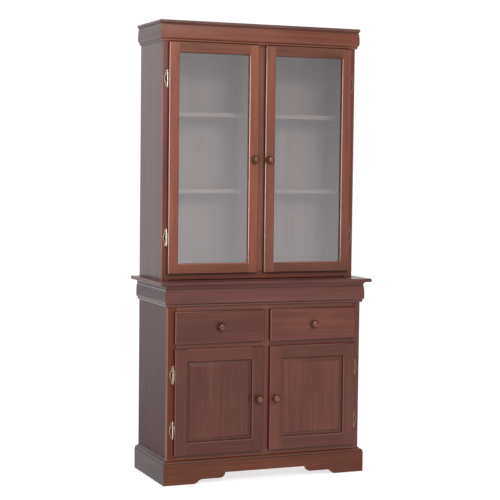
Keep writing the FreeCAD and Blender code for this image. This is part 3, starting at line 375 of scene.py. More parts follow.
def stained_wood(name, dark, middle, light, roughness=0.32, coat=0.05, coat_roughness=0.15,
                 shine=0.27, rubbing_and_highlight_colour=None, rubbing_and_highlight_strength=0.35):
    """Open-grained wood under red-brown stain and lacquer.

    Colour runs from dark to light with four noises drawn out along the grain: blotches, broad
    figure, streaks and pores. Boards differ in tone. Where a point's first share is set the colour
    turns towards a paler one and the coat shines more: arris rubbing, and a painted highlight where
    the share follows the light. Where its second share is set the colour falls towards a dark one:
    painted shade. The colours are given in thousandths of red, green and blue.
    """
    tree, shader = new_material(name)
    dark, middle, light = ([part / 1000 for part in colour] for colour in (dark, middle, light))
    rubbing_and_highlight_colour = [part / 1000 for part in rubbing_and_highlight_colour] if rubbing_and_highlight_colour else [min(1, HIGHLIGHT_GAIN * part) for part in light]
    run = node(tree, "Attribute", {"attribute_name": "grain_run"}).outputs["Vector"]
    tone, rubbing_and_highlight, painted_shade = board_look(tree)

    def drawn_out(along, across, detail, rough):
        place = node(tree, "Mapping", Vector=run, Scale=(along, across, across))
        return node(tree, "TexNoise", Vector=place, Scale=1.0, Detail=detail, Roughness=rough)

    streak, pore = drawn_out(*STREAK), drawn_out(*PORE)
    figure = mix(tree, drawn_out(*BLOTCH), drawn_out(*FIGURE), FIGURE_SHARE)
    grain = mix(tree, mix(tree, figure, streak, STREAK_SHARE), pore, PORE_SHARE)
    stain = colour_ramp(tree, grain, (DARK_AT, dark), (MIDDLE_AT, middle), (LIGHT_AT, light))
    shade = node(tree, "MapRange", Value=tone, To_Min=TONE_LOW, To_Max=TONE_HIGH)
    toned = node(tree, "HueSaturation", Value=shade, Color=stain)
    thin = node(tree, "Math", {"operation": "MULTIPLY"}, _0=rubbing_and_highlight, _1=rubbing_and_highlight_strength)
    lightened = mix(tree, toned, (*rubbing_and_highlight_colour, 1), thin, "RGBA")
    shade_colour = (*[PAINTED_SHADE_GAIN * part for part in dark], 1)
    sheen = node(tree, "MapRange", Value=streak, From_Min=0.3, From_Max=0.7,
                 To_Min=roughness - 0.05, To_Max=roughness + 0.06)
    relief = node(tree, "Bump", Height=pore, Strength=0.25, Distance=0.0002)
    coat_strength = node(tree, "MapRange", Value=rubbing_and_highlight, To_Min=coat, To_Max=RUBBING_AND_HIGHLIGHT_COAT)
    feed(tree, shader, Base_Color=mix(tree, lightened, shade_colour, painted_shade, "RGBA"), Roughness=sheen,
         Normal=relief, Specular_IOR_Level=shine, Coat_Weight=coat_strength, Coat_Roughness=coat_roughness)


# Paler colours, and how far to go towards them, for arrises and lit parts: arris rubbing, and a painted
# highlight.
SIDE_PANEL_RUBBING_AND_HIGHLIGHT = {"rubbing_and_highlight_colour": (340, 270, 270), "rubbing_and_highlight_strength": 0.7}
FRAME_RUBBING_AND_HIGHLIGHT = {"rubbing_and_highlight_colour": (420, 270, 230), "rubbing_and_highlight_strength": 0.6}
MOULDING_RUBBING_AND_HIGHLIGHT = {"rubbing_and_highlight_colour": (400, 340, 340), "rubbing_and_highlight_strength": 0.7, "coat": 0.0}
stained_wood("hutch_side_stain", (34, 8, 9), (50, 12, 13), (75, 19, 19), shine=0.42, **SIDE_PANEL_RUBBING_AND_HIGHLIGHT)
stained_wood("base_side_stain", (28, 6, 6), (42, 10, 10), (60, 16, 15), roughness=0.46, coat=0.0,
             shine=0.1, **SIDE_PANEL_RUBBING_AND_HIGHLIGHT)

# The upper part of each panel is painted paler and glossier: painted light, falling more on the top.
TOP_PAINTED_LIGHT = {"base": 0.17, "hutch": 0.09}
PAINTED_LIGHT_FROM = 0.1

for tier in ("base", "hutch"):
    for side in ("left", "right"):
        cad = f"{tier}_side_{side}"
        low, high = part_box(cad)
        panel = planed_board(low, high, ALONG_Z)
        upper = panel.points[..., 2] - low.z > PAINTED_LIGHT_FROM
        panel.rubbing_and_highlight = np.maximum(panel.rubbing_and_highlight, TOP_PAINTED_LIGHT[tier] * upper)
        make_piece(f"{cad}_panel", cad, [panel], [f"{tier}_side_stain"])

# ---- face frames ----
# Stiles stand full height at the corners and rails run between them, butted and glued, so a
# fine line shows at each joint. The outer corner of each stile is rounded.

ARRIS = 0.0035
stained_wood("carcass_stain", (82, 20, 12), (120, 31, 18), (168, 47, 26), **FRAME_RUBBING_AND_HIGHLIGHT)
stained_wood("orange_stain", (72, 17, 10), (105, 26, 14), (145, 40, 21), coat=0.0, shine=0.14,
             **FRAME_RUBBING_AND_HIGHLIGHT)
stained_wood("rail_stain", (88, 24, 17), (128, 37, 26), (176, 55, 37))
stained_wood("maroon_stain", (68, 19, 16), (98, 30, 24), (136, 45, 34))
# The hutch's middle stile is stained much lighter than the frame round it: painted light, making up for
# the shade that the doors cast on it.
stained_wood("middle_stile_stain", (132, 40, 26), (192, 61, 39), (260, 89, 56))

SQUARE = (EASE,) * 4
FRAME_BOARDS = (("stile_left", ALONG_Z, (ARRIS, EASE, EASE, EASE)),
                ("stile_right", ALONG_Z, (EASE, ARRIS, EASE, EASE)),
                ("stile_middle", ALONG_Z, SQUARE),
                ("rail_top", ALONG_X, SQUARE),
                ("rail_bottom", ALONG_X, SQUARE))
frame_stains = {
    "base": ("orange_stain", "maroon_stain", "rail_stain", "rail_stain", "rail_stain"),
    "hutch": ("carcass_stain", "carcass_stain", "middle_stile_stain", "carcass_stain", "carcass_stain")}

for tier, stains in frame_stains.items():
    for (part, grain, radii), stain in zip(FRAME_BOARDS, stains):
        cad = f"{tier}_{part}"
        make_piece(f"{cad}_board", cad, [planed_board(*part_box(cad), grain, radii)], [stain])

# The rail between the drawers and the doors is in two lengths, one each side of the middle.
ends = [corner.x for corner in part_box("base_stile_middle")]
rails = split_board("base_rail_middle", ALONG_X, ALONG_X, *ends)
make_piece("base_rail_middle_boards", "base_rail_middle", rails, ["rail_stain"])

# ---- frieze and cornice ----
# Run mouldings with a bead, a groove, a long belly and a cove, mitred at the front corners
# and cut square at the back. The frieze carries the worktop, the cornice the crown board.

MOULDING_STEPS = 8
MITRE_EASE = 0.0003
FULL_TURN = math.radians(25)
CREASE_REACH, CREASE_CORE = 0.003, 0.3
BEAD = ((0.004, 0.0, 80), (0.0085, 0.007, 0), (0.007, 0.0095, 70))
BELLY = (0.0147, 0.025, 12)
LEDGE_OUT, NECK_OUT, NECK_RISE, COVE_TURN = 0.0118, 0.0106, 0.0005, -70
BELLY_TOP = {"frieze": 0.0745, "cornice": 0.0705}
# On the mouldings the creases carry painted shade, weakened on the fronts, and the arrises a painted
# highlight, set per moulding on the side lengths; the cornice's bead is painted light and its painted
# shade taken off.
FRONT_CREASE = 0.7
SIDE_HIGHLIGHT = {"frieze": 1.0, "cornice": 0.3}
BEAD_LOW, BEAD_HIGH, BEAD_HIGHLIGHT = 0.001, 0.0072, 0.45
half_width, back_edge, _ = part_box("base_side_right")[1]
stained_wood("cornice_stain", (97, 26, 17), (143, 41, 26), (197, 62, 38), shine=0.2)
stained_wood("moulding_side_stain", (22, 9, 10), (34, 14, 15), (50, 22, 23), roughness=0.36,
             shine=0.25, **MOULDING_RUBBING_AND_HIGHLIGHT)


def arc_outline(corners, steps=MOULDING_STEPS):
    """Points along an anticlockwise outline of (across, up, turn) corners.

    A turn is the angle of the arc that leads to the next corner, positive where it swells
    outwards. Its centre stands off the chord's middle by half the chord over tan(turn / 2).
    """
    parts = []
    for start, end in zip(corners, corners[1:] + corners[:1]):
        first, last = np.array(start[:2]), np.array(end[:2])
        if not start[2]:
            parts.append(first[None])
            continue
        half = math.radians(start[2]) / 2
        chord = last - first
        centre = (first + last) / 2 + np.array([-chord[1], chord[0]]) / 2 / math.tan(half)
        turn = 2 * half * np.arange(steps) / steps
        spoke = first - centre
        parts.append(centre + np.stack([spoke[0] * np.cos(turn) - spoke[1] * np.sin(turn),
                                        spoke[0] * np.sin(turn) + spoke[1] * np.cos(turn)], axis=1))
    return np.concatenate(parts)


def arris_and_crease(points):
    """How far each point is an arris, and how far a crease: 1 from a turn of FULL_TURN, 0 at none.

    A crease's share fades out over CREASE_REACH to either side of its core.
    """
    chord = np.roll(points, -1, axis=0) - points
    before = np.roll(chord, 1, axis=0)
    turn = np.arctan2(before[:, 0] * chord[:, 1] - before[:, 1] * chord[:, 0], (before * chord).sum(1))
    share = np.clip(turn / FULL_TURN, -1, 1)
    apart = np.linalg.norm(points[:, None] - points[None], axis=2)
    near = np.clip(1 + CREASE_CORE - apart / CREASE_REACH, 0, 1)
    return np.maximum(share, 0) ** 2, (near * np.minimum(share, 0)[None] ** 2).max(1)


def outline_normals(points):
    """Outward normals: the chord between a point's neighbours, turned by a quarter."""
    chord = np.roll(points, -1, axis=0) - np.roll(points, 1, axis=0)
    chord /= np.linalg.norm(chord, axis=1)[:, None]
    return np.stack([chord[:, 1], -chord[:, 0]], axis=1)


def belly_outline(foot, head, projection, belly_top):
    """The moulding's section as (out, up) points, from its foot to its head."""
    ledge = ((LEDGE_OUT, belly_top, 0), (NECK_OUT, belly_top + NECK_RISE, COVE_TURN))
    swells = [(out, foot + up, turn) for out, up, turn in (*BEAD, BELLY, *ledge)]
    return arc_outline([(0, foot, 0), *swells, (projection, head, 0), (0, head, 0)])


def moulded_length(outline, grain, place):
    """Four rings along a length of moulding, whose two ends are eased.

    place turns an end (-1 or 1), how far the ring is pulled back from it, and the outline's
    (out, up) into x, y and z.
    """
    arris, crease = arris_and_crease(outline)
    rings = []
    for end, pull in ((-1, 0), (-1, MITRE_EASE), (1, MITRE_EASE), (1, 0)):
        out, up = (outline - (MITRE_EASE - pull) * outline_normals(outline)).T
        rings.append(np.stack(place(end, pull, out, up), axis=1))
    # The arris share becomes a painted highlight and the crease share painted shade.
    return Shell(rings, grain, arris, crease)


def front_length(outline, face):
    """A length across the front: at both ends x = half width + out, which is the mitre."""
    def place(end, pull, out, up):
        return end * (half_width + out - pull), face - out, up

    return moulded_length(outline, ALONG_X, place)


def side_length(outline, face, side):
    """A length along a side: at the front y = face - out, which is the mitre."""
    def place(end, pull, out, up):
        y = face - out + pull if end < 0 else np.full_like(out, back_edge - pull)
        return side * (half_width + out), y, up

    return moulded_length(outline, ALONG_Y, place)


for moulding, tier, front_finish, side_finish in (
        ("frieze", "base", "maroon_stain", "moulding_side_stain"),
        ("cornice", "hutch", "cornice_stain", "hutch_side_stain")):
    low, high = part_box(f"{moulding}_front")
    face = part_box(f"{tier}_stile_left")[0].y
    section = belly_outline(low.z, high.z, face - low.y, BELLY_TOP[moulding])
    front = front_length(section, face)
    front.painted_shade = FRONT_CREASE * front.painted_shade
    if moulding == "cornice":
        bead = (section[:, 1] > low.z + BEAD_LOW) & (section[:, 1] < low.z + BEAD_HIGH)
        front.rubbing_and_highlight = np.maximum(front.rubbing_and_highlight, BEAD_HIGHLIGHT * bead)
        front.painted_shade = np.where(bead, 0, front.painted_shade)
    make_piece(f"{moulding}_front_length", f"{moulding}_front", [front], [front_finish])
    sides = [side_length(section, face, side) for side in (-1, 1)]
    for length in sides:
        length.rubbing_and_highlight = SIDE_HIGHLIGHT[moulding] * length.rubbing_and_highlight
    make_piece(f"{moulding}_side_lengths", f"{moulding}_sides", sides, [side_finish])

# ---- plinth ----
# Boards with a groove and an ogee along the top edge, mitred at the front. The front one is
# sawn out between two bracket feet: an ogee off each foot, a level bracket, a quarter round
# and a long flat arch.

PLINTH_THICK = 0.018
SAWN_ARRIS = 0.001
FLAT_DROP, QUIRK_DROP, OGEE_DROP = 0.021, 0.015, 0.006
QUIRK_DEPTH, QUIRK_EDGE = 0.003, 0.001
OGEE_OUT, LIP_OUT = 0.008, 0.0015
SHOULDER_TURN, SWELL_TURN, HOLLOW_TURN = 50, 60, -55
FOOT_LENGTH, FOOT_SWEEP, FOOT_TURN = 0.137, 0.043, 50
BRACKET_HEIGHT, BRACKET_LENGTH, ARCH_RISE = 0.019, 0.082, 0.023
PLINTH_TONE = 0.4
plinth_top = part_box("plinth_front")[1].z
base_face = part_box("base_stile_left")[0].y
plinth_outline = arc_outline([
    (0, 0, 0), (PLINTH_THICK - SAWN_ARRIS, 0, 90), (PLINTH_THICK, SAWN_ARRIS, 0),
    (PLINTH_THICK, plinth_top - FLAT_DROP, SHOULDER_TURN),
    (PLINTH_THICK - QUIRK_DEPTH, plinth_top - QUIRK_DROP, 0),
    (PLINTH_THICK - QUIRK_DEPTH / 2, plinth_top - QUIRK_DROP + QUIRK_EDGE, SWELL_TURN),
    (OGEE_OUT, plinth_top - OGEE_DROP, HOLLOW_TURN), (LIP_OUT, plinth_top, 0), (0, plinth_top, 0)])
foot_end = half_width + PLINTH_THICK - FOOT_LENGTH
sweep_end = foot_end - FOOT_SWEEP
sweep_middle = (foot_end + sweep_end) / 2
bracket_end = sweep_end - BRACKET_LENGTH
arch_end = bracket_end - ARCH_RISE
saw_line = arc_outline([
    (foot_end, 0, -FOOT_TURN), (sweep_middle, BRACKET_HEIGHT / 2, FOOT_TURN),
    (sweep_end, BRACKET_HEIGHT, 0), (bracket_end, BRACKET_HEIGHT, -90),
    (arch_end, BRACKET_HEIGHT + ARCH_RISE, 0), (0, BRACKET_HEIGHT + ARCH_RISE, 0)])[:-1]
saw_line = np.concatenate([saw_line, (saw_line * (-1, 1))[::-1]])


def plinth_front_length():
    """Rings along the front: at each x the section's bottom points rise to the sawn line."""
    out, up = plinth_outline.T
    arris, crease = arris_and_crease(plinth_outline)
    bottom = up < 2 * SAWN_ARRIS
    left = np.stack([-half_width - out, base_face - out, up], axis=1)
    between = [np.stack([np.full_like(up, x), base_face - out, up + np.where(bottom, rise, 0)], axis=1)
               for x, rise in saw_line[::-1]]
    # As on the mouldings, the arrises carry a painted highlight and the creases painted shade.
    return Shell([left, *between, left * (-1, 1, 1)], ALONG_X, arris, crease)


plinth_board = plinth_front_length()
plinth_board.tone = PLINTH_TONE
make_piece("plinth_front_board", "plinth_front", [plinth_board], ["orange_stain"])
stained_wood("plinth_side_stain", (22, 9, 10), (34, 14, 15), (50, 22, 23), roughness=0.4,
             shine=0.19, **MOULDING_RUBBING_AND_HIGHLIGHT)
make_piece("plinth_side_boards", "plinth_sides",
           [side_length(plinth_outline, base_face, side) for side in (-1, 1)], ["plinth_side_stain"])

# ---- worktop and crown ----
# Two top boards with the front and side edges rounded over and the back edge left square.

NOSE_STEPS = 6
CORNER_STEPS = 5
stained_wood("worktop_stain", (50, 16, 14), (74, 26, 22), (105, 41, 34), shine=0.2)
stained_wood("crown_stain", (64, 26, 21), (93, 40, 33), (132, 60, 49))


def nosed_board(cad, nose, corner):
    """Rings up the edge: in plan the outline stands in by nose (1 - cos a), at height nose sin a."""
    low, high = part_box(cad)
    radii = (corner, corner, nose + EASE, nose + EASE)
    points, normals = rounded_outline(rectangle(low.x, low.y, high.x, high.y + nose, radii),
                                      CORNER_STEPS)
    angle = np.linspace(-math.pi / 2, math.pi / 2, 2 * NOSE_STEPS + 1)
    inset = np.insert(nose * (1 - np.cos(angle)), NOSE_STEPS, 0)
    height = np.where(angle < 0, low.z + nose, high.z - nose) + nose * np.sin(angle)
    height = np.insert(height, NOSE_STEPS, low.z + nose)
    plan = points[None] - inset[:, None, None] * normals[None]
    plan[..., 1] = np.minimum(plan[..., 1], high.y)
    grid = np.concatenate([plan, np.broadcast_to(height[:, None, None], plan.shape[:2] + (1,))], axis=2)
    return Shell(grid, ALONG_X)


make_piece("worktop_board", "worktop", [nosed_board("worktop", nose=0.007, corner=0.009)],
           ["worktop_stain"])
make_piece("crown_top_board", "crown_board",
           [nosed_board("crown_board", nose=0.0055, corner=0.0058)], ["crown_stain"])

# ---- inside of the carcass ----
# Floors, tops and shelves of the same stained board, and thin back panels, duller than the
# outside because they get one coat. The shelves lie on round brass pegs.

stained_wood("inside_stain", (200, 125, 108), (260, 175, 152), (320, 225, 200), roughness=0.5,
             coat=0.1, coat_roughness=0.4)
stained_wood("back_board_stain", (180, 108, 98), (230, 148, 135), (280, 190, 175), roughness=0.55,
             coat=0.05, coat_roughness=0.4)
stained_wood("back_board_rear", (95, 44, 28), (135, 65, 42), (180, 92, 60), roughness=0.6, coat=0.0)
SHELF_ARRIS = 0.0015
SHELF_THICK, SHELF_PLAY = 0.018, 0.001
TURNED_BACK = 0.5

for cad in ("base_bottom", "hutch_bottom", "hutch_top"):
    make_piece(f"{cad}_board", cad, [planed_board(*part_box(cad), ALONG_X)], ["inside_stain"])
backs = split_board("back_panels", ALONG_Z, ALONG_Z, *[corner.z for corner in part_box("worktop")])
back_boards = make_piece("back_boards", "back_panels", backs, ["back_board_stain", "back_board_rear"])
facing = np.empty(3 * len(back_boards.data.polygons), np.float32)
back_boards.data.polygons.foreach_get("normal", facing)
looks_back = (facing[1::3] > TURNED_BACK).astype(np.int32)
back_boards.data.polygons.foreach_set("material_index", looks_back)
make_piece("hutch_partition_boards", "hutch_partition",
           split_board("hutch_partition", ALONG_Z, ALONG_X, 0, 0), ["inside_stain"])


def shelf(low, high):
    """A shelf with its long edges rounded: the section is (y, z)."""
    return planed_board(low, high, ALONG_X, (SHELF_ARRIS,) * 4)


make_piece("base_shelf_board", "base_shelf", [shelf(*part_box("base_shelf"))], ["inside_stain"])
inner_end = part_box("hutch_partition")[1].x + SHELF_PLAY
low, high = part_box("hutch_shelves")
shelves = []
for bottom in (low.z, high.z - SHELF_THICK):
    for near, far in ((low.x, -inner_end), (inner_end, high.x)):
        shelves.append(shelf((near, low.y, bottom), (far, high.y, bottom + SHELF_THICK)))
make_piece("hutch_shelf_boards", "hutch_shelves", shelves, ["inside_stain"])

# ---- drawers ----
# A solid front with rounded arrises is fixed to a box of pale unstained wood: two sides, an inner
# front, a back and a thin bottom. The sides are grooved outside for the runners.

stained_wood("bare_drawer_wood", (420, 270, 160), (520, 350, 210), (600, 430, 270), roughness=0.55,
             coat=0.0)
# The front stain's paler colour is for arris rubbing and for the painted highlight on arrises that look
# up or left.
stained_wood("front_stain", (68, 17, 13), (103, 27, 19), (145, 42, 28), rubbing_and_highlight_colour=(250, 95, 70),
             rubbing_and_highlight_strength=0.7)
FRONT_TONES = {"left": 0.16, "right": 0.7}
BOX_WALL = 0.012
BOTTOM_THICK, BOTTOM_RISE = 0.005, 0.008
RUNNER_GROOVE_DEPTH, RUNNER_GROOVE_HALF, RUNNER_PLAY = 0.006, 0.0078, 0.0003
SLAB_CORNER = 0.0006
SLAB_STEPS = 6
ARRIS_SHADE = 0.8


def rectangle_rings(low, high, profile):
    """Rings about a front: a rectangle drawn in by each profile inset, at each profile depth.

    With them comes each point's place on the front, across and up, from -0.5 to 0.5.
    """
    points, _ = rounded_outline(rectangle(low.x, low.z, high.x, high.z, (SLAB_CORNER,) * 4))
    middle = np.array([low.x + high.x, low.z + high.z]) / 2
    half = np.array([high.x - low.x, high.z - low.z]) / 2
    rings = []
    for inset, depth in profile:
        plan = middle + (points - middle) * (half - inset) / half
        rings.append(np.stack([plan[:, 0], np.full(len(plan), depth), plan[:, 1]], axis=1))
    rings = np.array(rings)
    across, up = np.moveaxis((rings[..., ::2] - middle) / (2 * half), -1, 0)
    return rings, across, up


def rounded_slab(low, high, grain):
    """A slab whose front arrises are quarter rounds: inset r (1 - cos a), depth r (1 - sin a).

    The arrises that look up or left carry arris rubbing and a painted highlight. Those that look
    down or right carry painted shade, and so do the edges behind all four, fully at the back.
    """
    angle = np.linspace(0, math.pi / 2, SLAB_STEPS)
    profile = [(EASE, high.y), (0, high.y - EASE)]
    profile += [(ARRIS * (1 - math.cos(a)), low.y + ARRIS * (1 - math.sin(a))) for a in angle]
    rings, across, up = rectangle_rings(low, high, profile)
    arris = np.array([0, 0] + [math.sin(2 * a) for a in angle])[:, None]
    edge = np.array([0, 1] + [min(1, 2 * math.cos(a)) for a in angle])[:, None]
    away = np.maximum(across, -up) >= np.maximum(-across, up)
    painted_shade = np.where(away, ARRIS_SHADE * edge, 0)
    painted_shade[1] = 1
    return Shell(rings, grain, arris * ~away, painted_shade)


def drawer_box_boards(low, high):
    """The five boards of a drawer box from the corners of its box."""
    wall, floor = BOX_WALL, low.z + BOTTOM_RISE
    middle = (low.z + high.z) / 2
    groove = (middle - RUNNER_GROOVE_HALF, middle + RUNNER_GROOVE_HALF)
    boards = []
    for side, outer in ((-1, low.x), (1, high.x)):
        inner = outer - side * wall
        cut = outer - side * RUNNER_GROOVE_DEPTH
        corners = [(low.z, inner), (low.z, outer), (groove[0], outer), (groove[0], cut),
                   (groove[1], cut), (groove[1], outer), (high.z, outer), (high.z, inner)]
        corners = [(z, x, EASE) for z, x in (corners[::-1] if side < 0 else corners)]
        boards.append(straight_run(rounded_outline(corners, 1), low.y, high.y, ALONG_Y))
    left, right = low.x + wall, high.x - wall
    boards.append(planed_board((left, low.y, low.z), (right, low.y + wall, high.z), ALONG_X))
    boards.append(planed_board((left, high.y - wall, floor + BOTTOM_THICK), (right, high.y, high.z),
                               ALONG_X))
    boards.append(planed_board((left, low.y + wall, floor), (right, high.y, floor + BOTTOM_THICK),
                               ALONG_X, ease=EASE / 2))
    return boards


for side in ("left", "right"):
    drawer = f"drawer_{side}"
    slab = rounded_slab(*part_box(f"{drawer}_front"), ALONG_X)
    slab.tone = FRONT_TONES[side]
    make_piece(f"{drawer}_slab", f"{drawer}_front", [slab], ["front_stain"], drawer)
    make_piece(f"{drawer}_box_boards", f"{drawer}_box", drawer_box_boards(*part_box(f"{drawer}_box")),
               ["bare_drawer_wood"], drawer)
make_piece("drawer_divider_board", "drawer_divider",
           [planed_board(*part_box("drawer_divider"), ALONG_Y)], ["bare_drawer_wood"])
low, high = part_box("drawer_runners")
divider_low, divider_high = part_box("drawer_divider")
left_low, left_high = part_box("drawer_left_box")
right_low, right_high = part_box("drawer_right_box")
bite = RUNNER_GROOVE_DEPTH - RUNNER_PLAY
runners = [planed_board((near, low.y, low.z), (far, high.y, high.z), ALONG_Y) for near, far in (
    (low.x, left_low.x + bite), (left_high.x - bite, divider_low.x),
    (divider_high.x, right_low.x + bite), (right_high.x - bite, high.x))]
make_piece("drawer_runner_strips", "drawer_runners", runners, ["bare_drawer_wood"])

# ---- panelled doors ----
# Two stiles and the two rails between them, with the front arris rounded all round and a small
# bevel round the opening. A raised panel lies in their grooves: a bevelled margin, a step and a
# flat field, with the grain upright.

BASE_MEMBER, HUTCH_MEMBER = 0.056, 0.045
SIGHT_BEVEL = 0.003
NO_BEVEL = 0.00005
GROOVE_BACK, GROOVE_FRONT, GROOVE_DEEP = 0.005, 0.011, 0.009
REBATE_DEEP, REBATE_WIDE = 0.009, 0.008
JOINT_EASE = 0.0004
END_STEPS = 5
# Shares of painted shade on bevels and on arrises and edges, and of painted highlight on a panel's
# bevel.
BEVEL_SHADE, PANEL_BEVEL_SHADE, PANEL_BEVEL_HIGHLIGHT = 0.6, 0.1, 0.45
EDGE_SHADE = 0.004


def rolled(distance, chamfer):
    """How far the front has fallen back at a distance d from the door's end.

    A chamfer falls c - d, a round arris r - sqrt(r2 - (r - d)2).
    """
    if chamfer:
        return np.clip(chamfer - distance, 0, chamfer)
    short = np.clip(ARRIS - distance, 0, ARRIS)
    return ARRIS - np.sqrt(ARRIS ** 2 - short ** 2)


def member_section(outer, sight, back, front, bevel, channel, chamfer):
    """A stile's section as (inwards, depth) corners, channelled for a panel or a pane.

    Outer and sight are the member's two edges, and the bevel starts SIGHT_BEVEL before sight.
    """
    inward = 1 if sight > outer else -1
    start = sight - inward * SIGHT_BEVEL
    soft = min(EASE, bevel / 4)
    arris = [(outer, front + chamfer, EASE / 2), (outer + inward * chamfer, front, EASE / 2)]
    if not chamfer:
        arris = [(outer, front, ARRIS)]
    foot = front + bevel + (0 if bevel < SIGHT_BEVEL else NO_BEVEL)
    corners = [(outer, back, EASE), *arris, (start, front, soft),
               (start + inward * bevel, front + bevel, soft), (sight, foot, soft)]
    for across, depth in channel:
        corners.append((sight - inward * across, back - depth, EASE / 3))
    return corners if inward > 0 else corners[::-1]


def door_member(ends, outer, sight, back, front, channel, upright, mitres, chamfer):
    """A stile or rail: rings of its section along its length, with the bevel mitred.

    The bevel grows from nothing to full over its own width at each mitre, and the front rolls
    back towards both ends where the member runs out to the door's edge. Arrises that look up or
    left carry arris rubbing and a painted highlight. Those that look down or right, the edge faces
    behind every outer arris and the bevels turned from the light carry painted shade.
    """
    low, high = ends
    steps = np.linspace(0, ARRIS, END_STEPS)
    if upright:
        places = np.concatenate([low + steps, [mitres[0] - SIGHT_BEVEL, mitres[0], mitres[1],
                                               mitres[1] + SIGHT_BEVEL], high - steps[::-1]])
    else:
        places = np.array([low, low + JOINT_EASE, high - JOINT_EASE, high])
    away = (outer > sight) == upright
    inner_shade = BEVEL_SHADE if chamfer else PANEL_BEVEL_SHADE
    rings, lightened, edges = [], [], []
    for place in places:
        into = min(place - mitres[0], mitres[1] - place) + SIGHT_BEVEL
        bevel = np.clip(into, NO_BEVEL, SIGHT_BEVEL) if upright else SIGHT_BEVEL
        points, normals = rounded_outline(
            member_section(outer, sight, back, front, bevel, channel, chamfer))
        along = np.full(len(points), place)
        edge = min(place - low, high - place)
        if upright:
            points[:, 1] = np.maximum(points[:, 1], front + rolled(edge, chamfer))
        else:
            points = points - normals * (JOINT_EASE - min(edge, JOINT_EASE))
        across, depth = points.T
        rings.append(np.stack([across, depth, along] if upright else [along, depth, across], axis=1))
        outwards = np.sign(outer - sight) * normals[:, 0]
        lit = np.where(outwards > 0, not away, away)
        rubbing_and_highlight = np.where((outwards > 0) | (chamfer > 0), 1, PANEL_BEVEL_HIGHLIGHT)
        lightened.append(lit * rubbing_and_highlight * roundness(normals))
        behind = np.clip((points[:, 1] - front - ARRIS) / EDGE_SHADE, 0, 1)
        edges.append(np.clip(2 * outwards, 0, 1) * np.maximum(behind, ARRIS_SHADE * away)
                     + inner_shade * np.clip(-outwards, 0, 1) * ~lit)
    return Shell(rings, ALONG_Z if upright else ALONG_X, np.array(lightened), np.array(edges))


def door_frame(cad, width, channel, tones, chamfer=0):
    """The four members. Tones are the left stile's, right stile's, bottom rail's and top rail's."""
    low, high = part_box(cad)
    sight_x = (low.x + width, high.x - width)
    sight_z = (low.z + width, high.z - width)
    members = []
    for ends, outer, sight, upright, mitres in (
            ((low.z, high.z), low.x, sight_x[0], True, sight_z),
            ((low.z, high.z), high.x, sight_x[1], True, sight_z),
            (sight_x, low.z, sight_z[0], False, sight_x),
            (sight_x, high.z, sight_z[1], False, sight_x)):
        members.append(door_member(ends, outer, sight, high.y, low.y, channel, upright, mitres, chamfer))
    for member, tone in zip(members, tones):
        member.tone = tone
    return members


PANEL_GROOVE = ((0, GROOVE_FRONT), (GROOVE_DEEP, GROOVE_FRONT), (GROOVE_DEEP, GROOVE_BACK),
                (0, GROOVE_BACK), (0, 0))
GLASS_REBATE = ((0, REBATE_DEEP), (REBATE_WIDE, REBATE_DEEP), (REBATE_WIDE, 0))
MARGIN_RUN, FIELD_STEP, MARGIN_RISE = 0.027, 0.0012, 0.0075
STEP_SHADE = 0.005
SHADED_MIDDLE, SHADED_ACROSS, SHADED_UP = 0.6, 0.9, -0.4


def raised_panel(cad):
    """Rings drawn in from the edge: flat back, thin edge, rising margin, step and field.

    Each row holds a ring's inset, depth, share of painted shade on the shaded side and share of
    painted highlight on the lit side.
    """
    low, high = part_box(cad)
    slope = (MARGIN_RISE - EASE) / (MARGIN_RUN - 3 * EASE)
    near_step = low.y + FIELD_STEP + EASE
    rows = np.array([
        (EASE, high.y, 0, 0), (0, high.y - EASE, 0, 0),
        (0, low.y + FIELD_STEP + MARGIN_RISE, 0.35, 0),
        (MARGIN_RUN - STEP_SHADE, near_step + slope * (STEP_SHADE - 3 * EASE), 0.15, 0),
        (MARGIN_RUN - 3 * EASE, near_step, 0.75, 0),
        (MARGIN_RUN - EASE, low.y + FIELD_STEP + EASE / 4, 0.95, 0),
        (MARGIN_RUN, low.y + FIELD_STEP, 0.95, 0),
        (MARGIN_RUN + EASE / 4, low.y + EASE / 2, 0.6, 0.35),
        (MARGIN_RUN + EASE, low.y, 0, 0.35), (MARGIN_RUN + 3 * EASE, low.y, 0, 0)])
    rings, across, up = rectangle_rings(low, high, rows[:, :2])
    shaded = np.clip(SHADED_MIDDLE + SHADED_ACROSS * across + SHADED_UP * up, 0, 1)
    return Shell(rings, ALONG_Z, rows[:, 3:] * (1 - shaded), rows[:, 2:3] * shaded)


BASE_DOOR_TONES = {"left": (0.15, 0.15, 0.03, 0.25), "right": (0.6, 0.15, 0.15, 0.3)}
PANEL_TONES = {"left": 0.2, "right": 0.55}
for side in ("left", "right"):
    door = f"base_door_{side}"
    members = door_frame(f"{door}_frame", BASE_MEMBER, PANEL_GROOVE, BASE_DOOR_TONES[side])
    make_piece(f"{door}_stiles_and_rails", f"{door}_frame", members, ["front_stain"], door)
    panel = raised_panel(f"{door}_panel")
    panel.tone = PANEL_TONES[side]
    make_piece(f"{door}_raised_panel", f"{door}_panel", [panel], ["front_stain"], door)

# ---- glazed doors ----
# The same joinery, narrower, with a flat chamfer round the outside, rebated at the back for a
# clear pane that four square beads hold. The two doors took the stain differently.

DOOR_CHAMFER = 0.0025
MIRRORED_SHARE = 0.098
GLAZED_DOOR_TONES = {"left": (0.5, 0.5, 0.28, 0.08), "right": (0.75, 0.4, 0.1, 0.03)}
GLAZED_DOOR_STAINS = {"left": "glazed_door_stain", "right": "darker_door_stain"}
stained_wood("glazed_door_stain", (130, 34, 18), (190, 54, 28), (260, 80, 43))
stained_wood("darker_door_stain", (95, 26, 17), (145, 43, 27), (200, 65, 41))


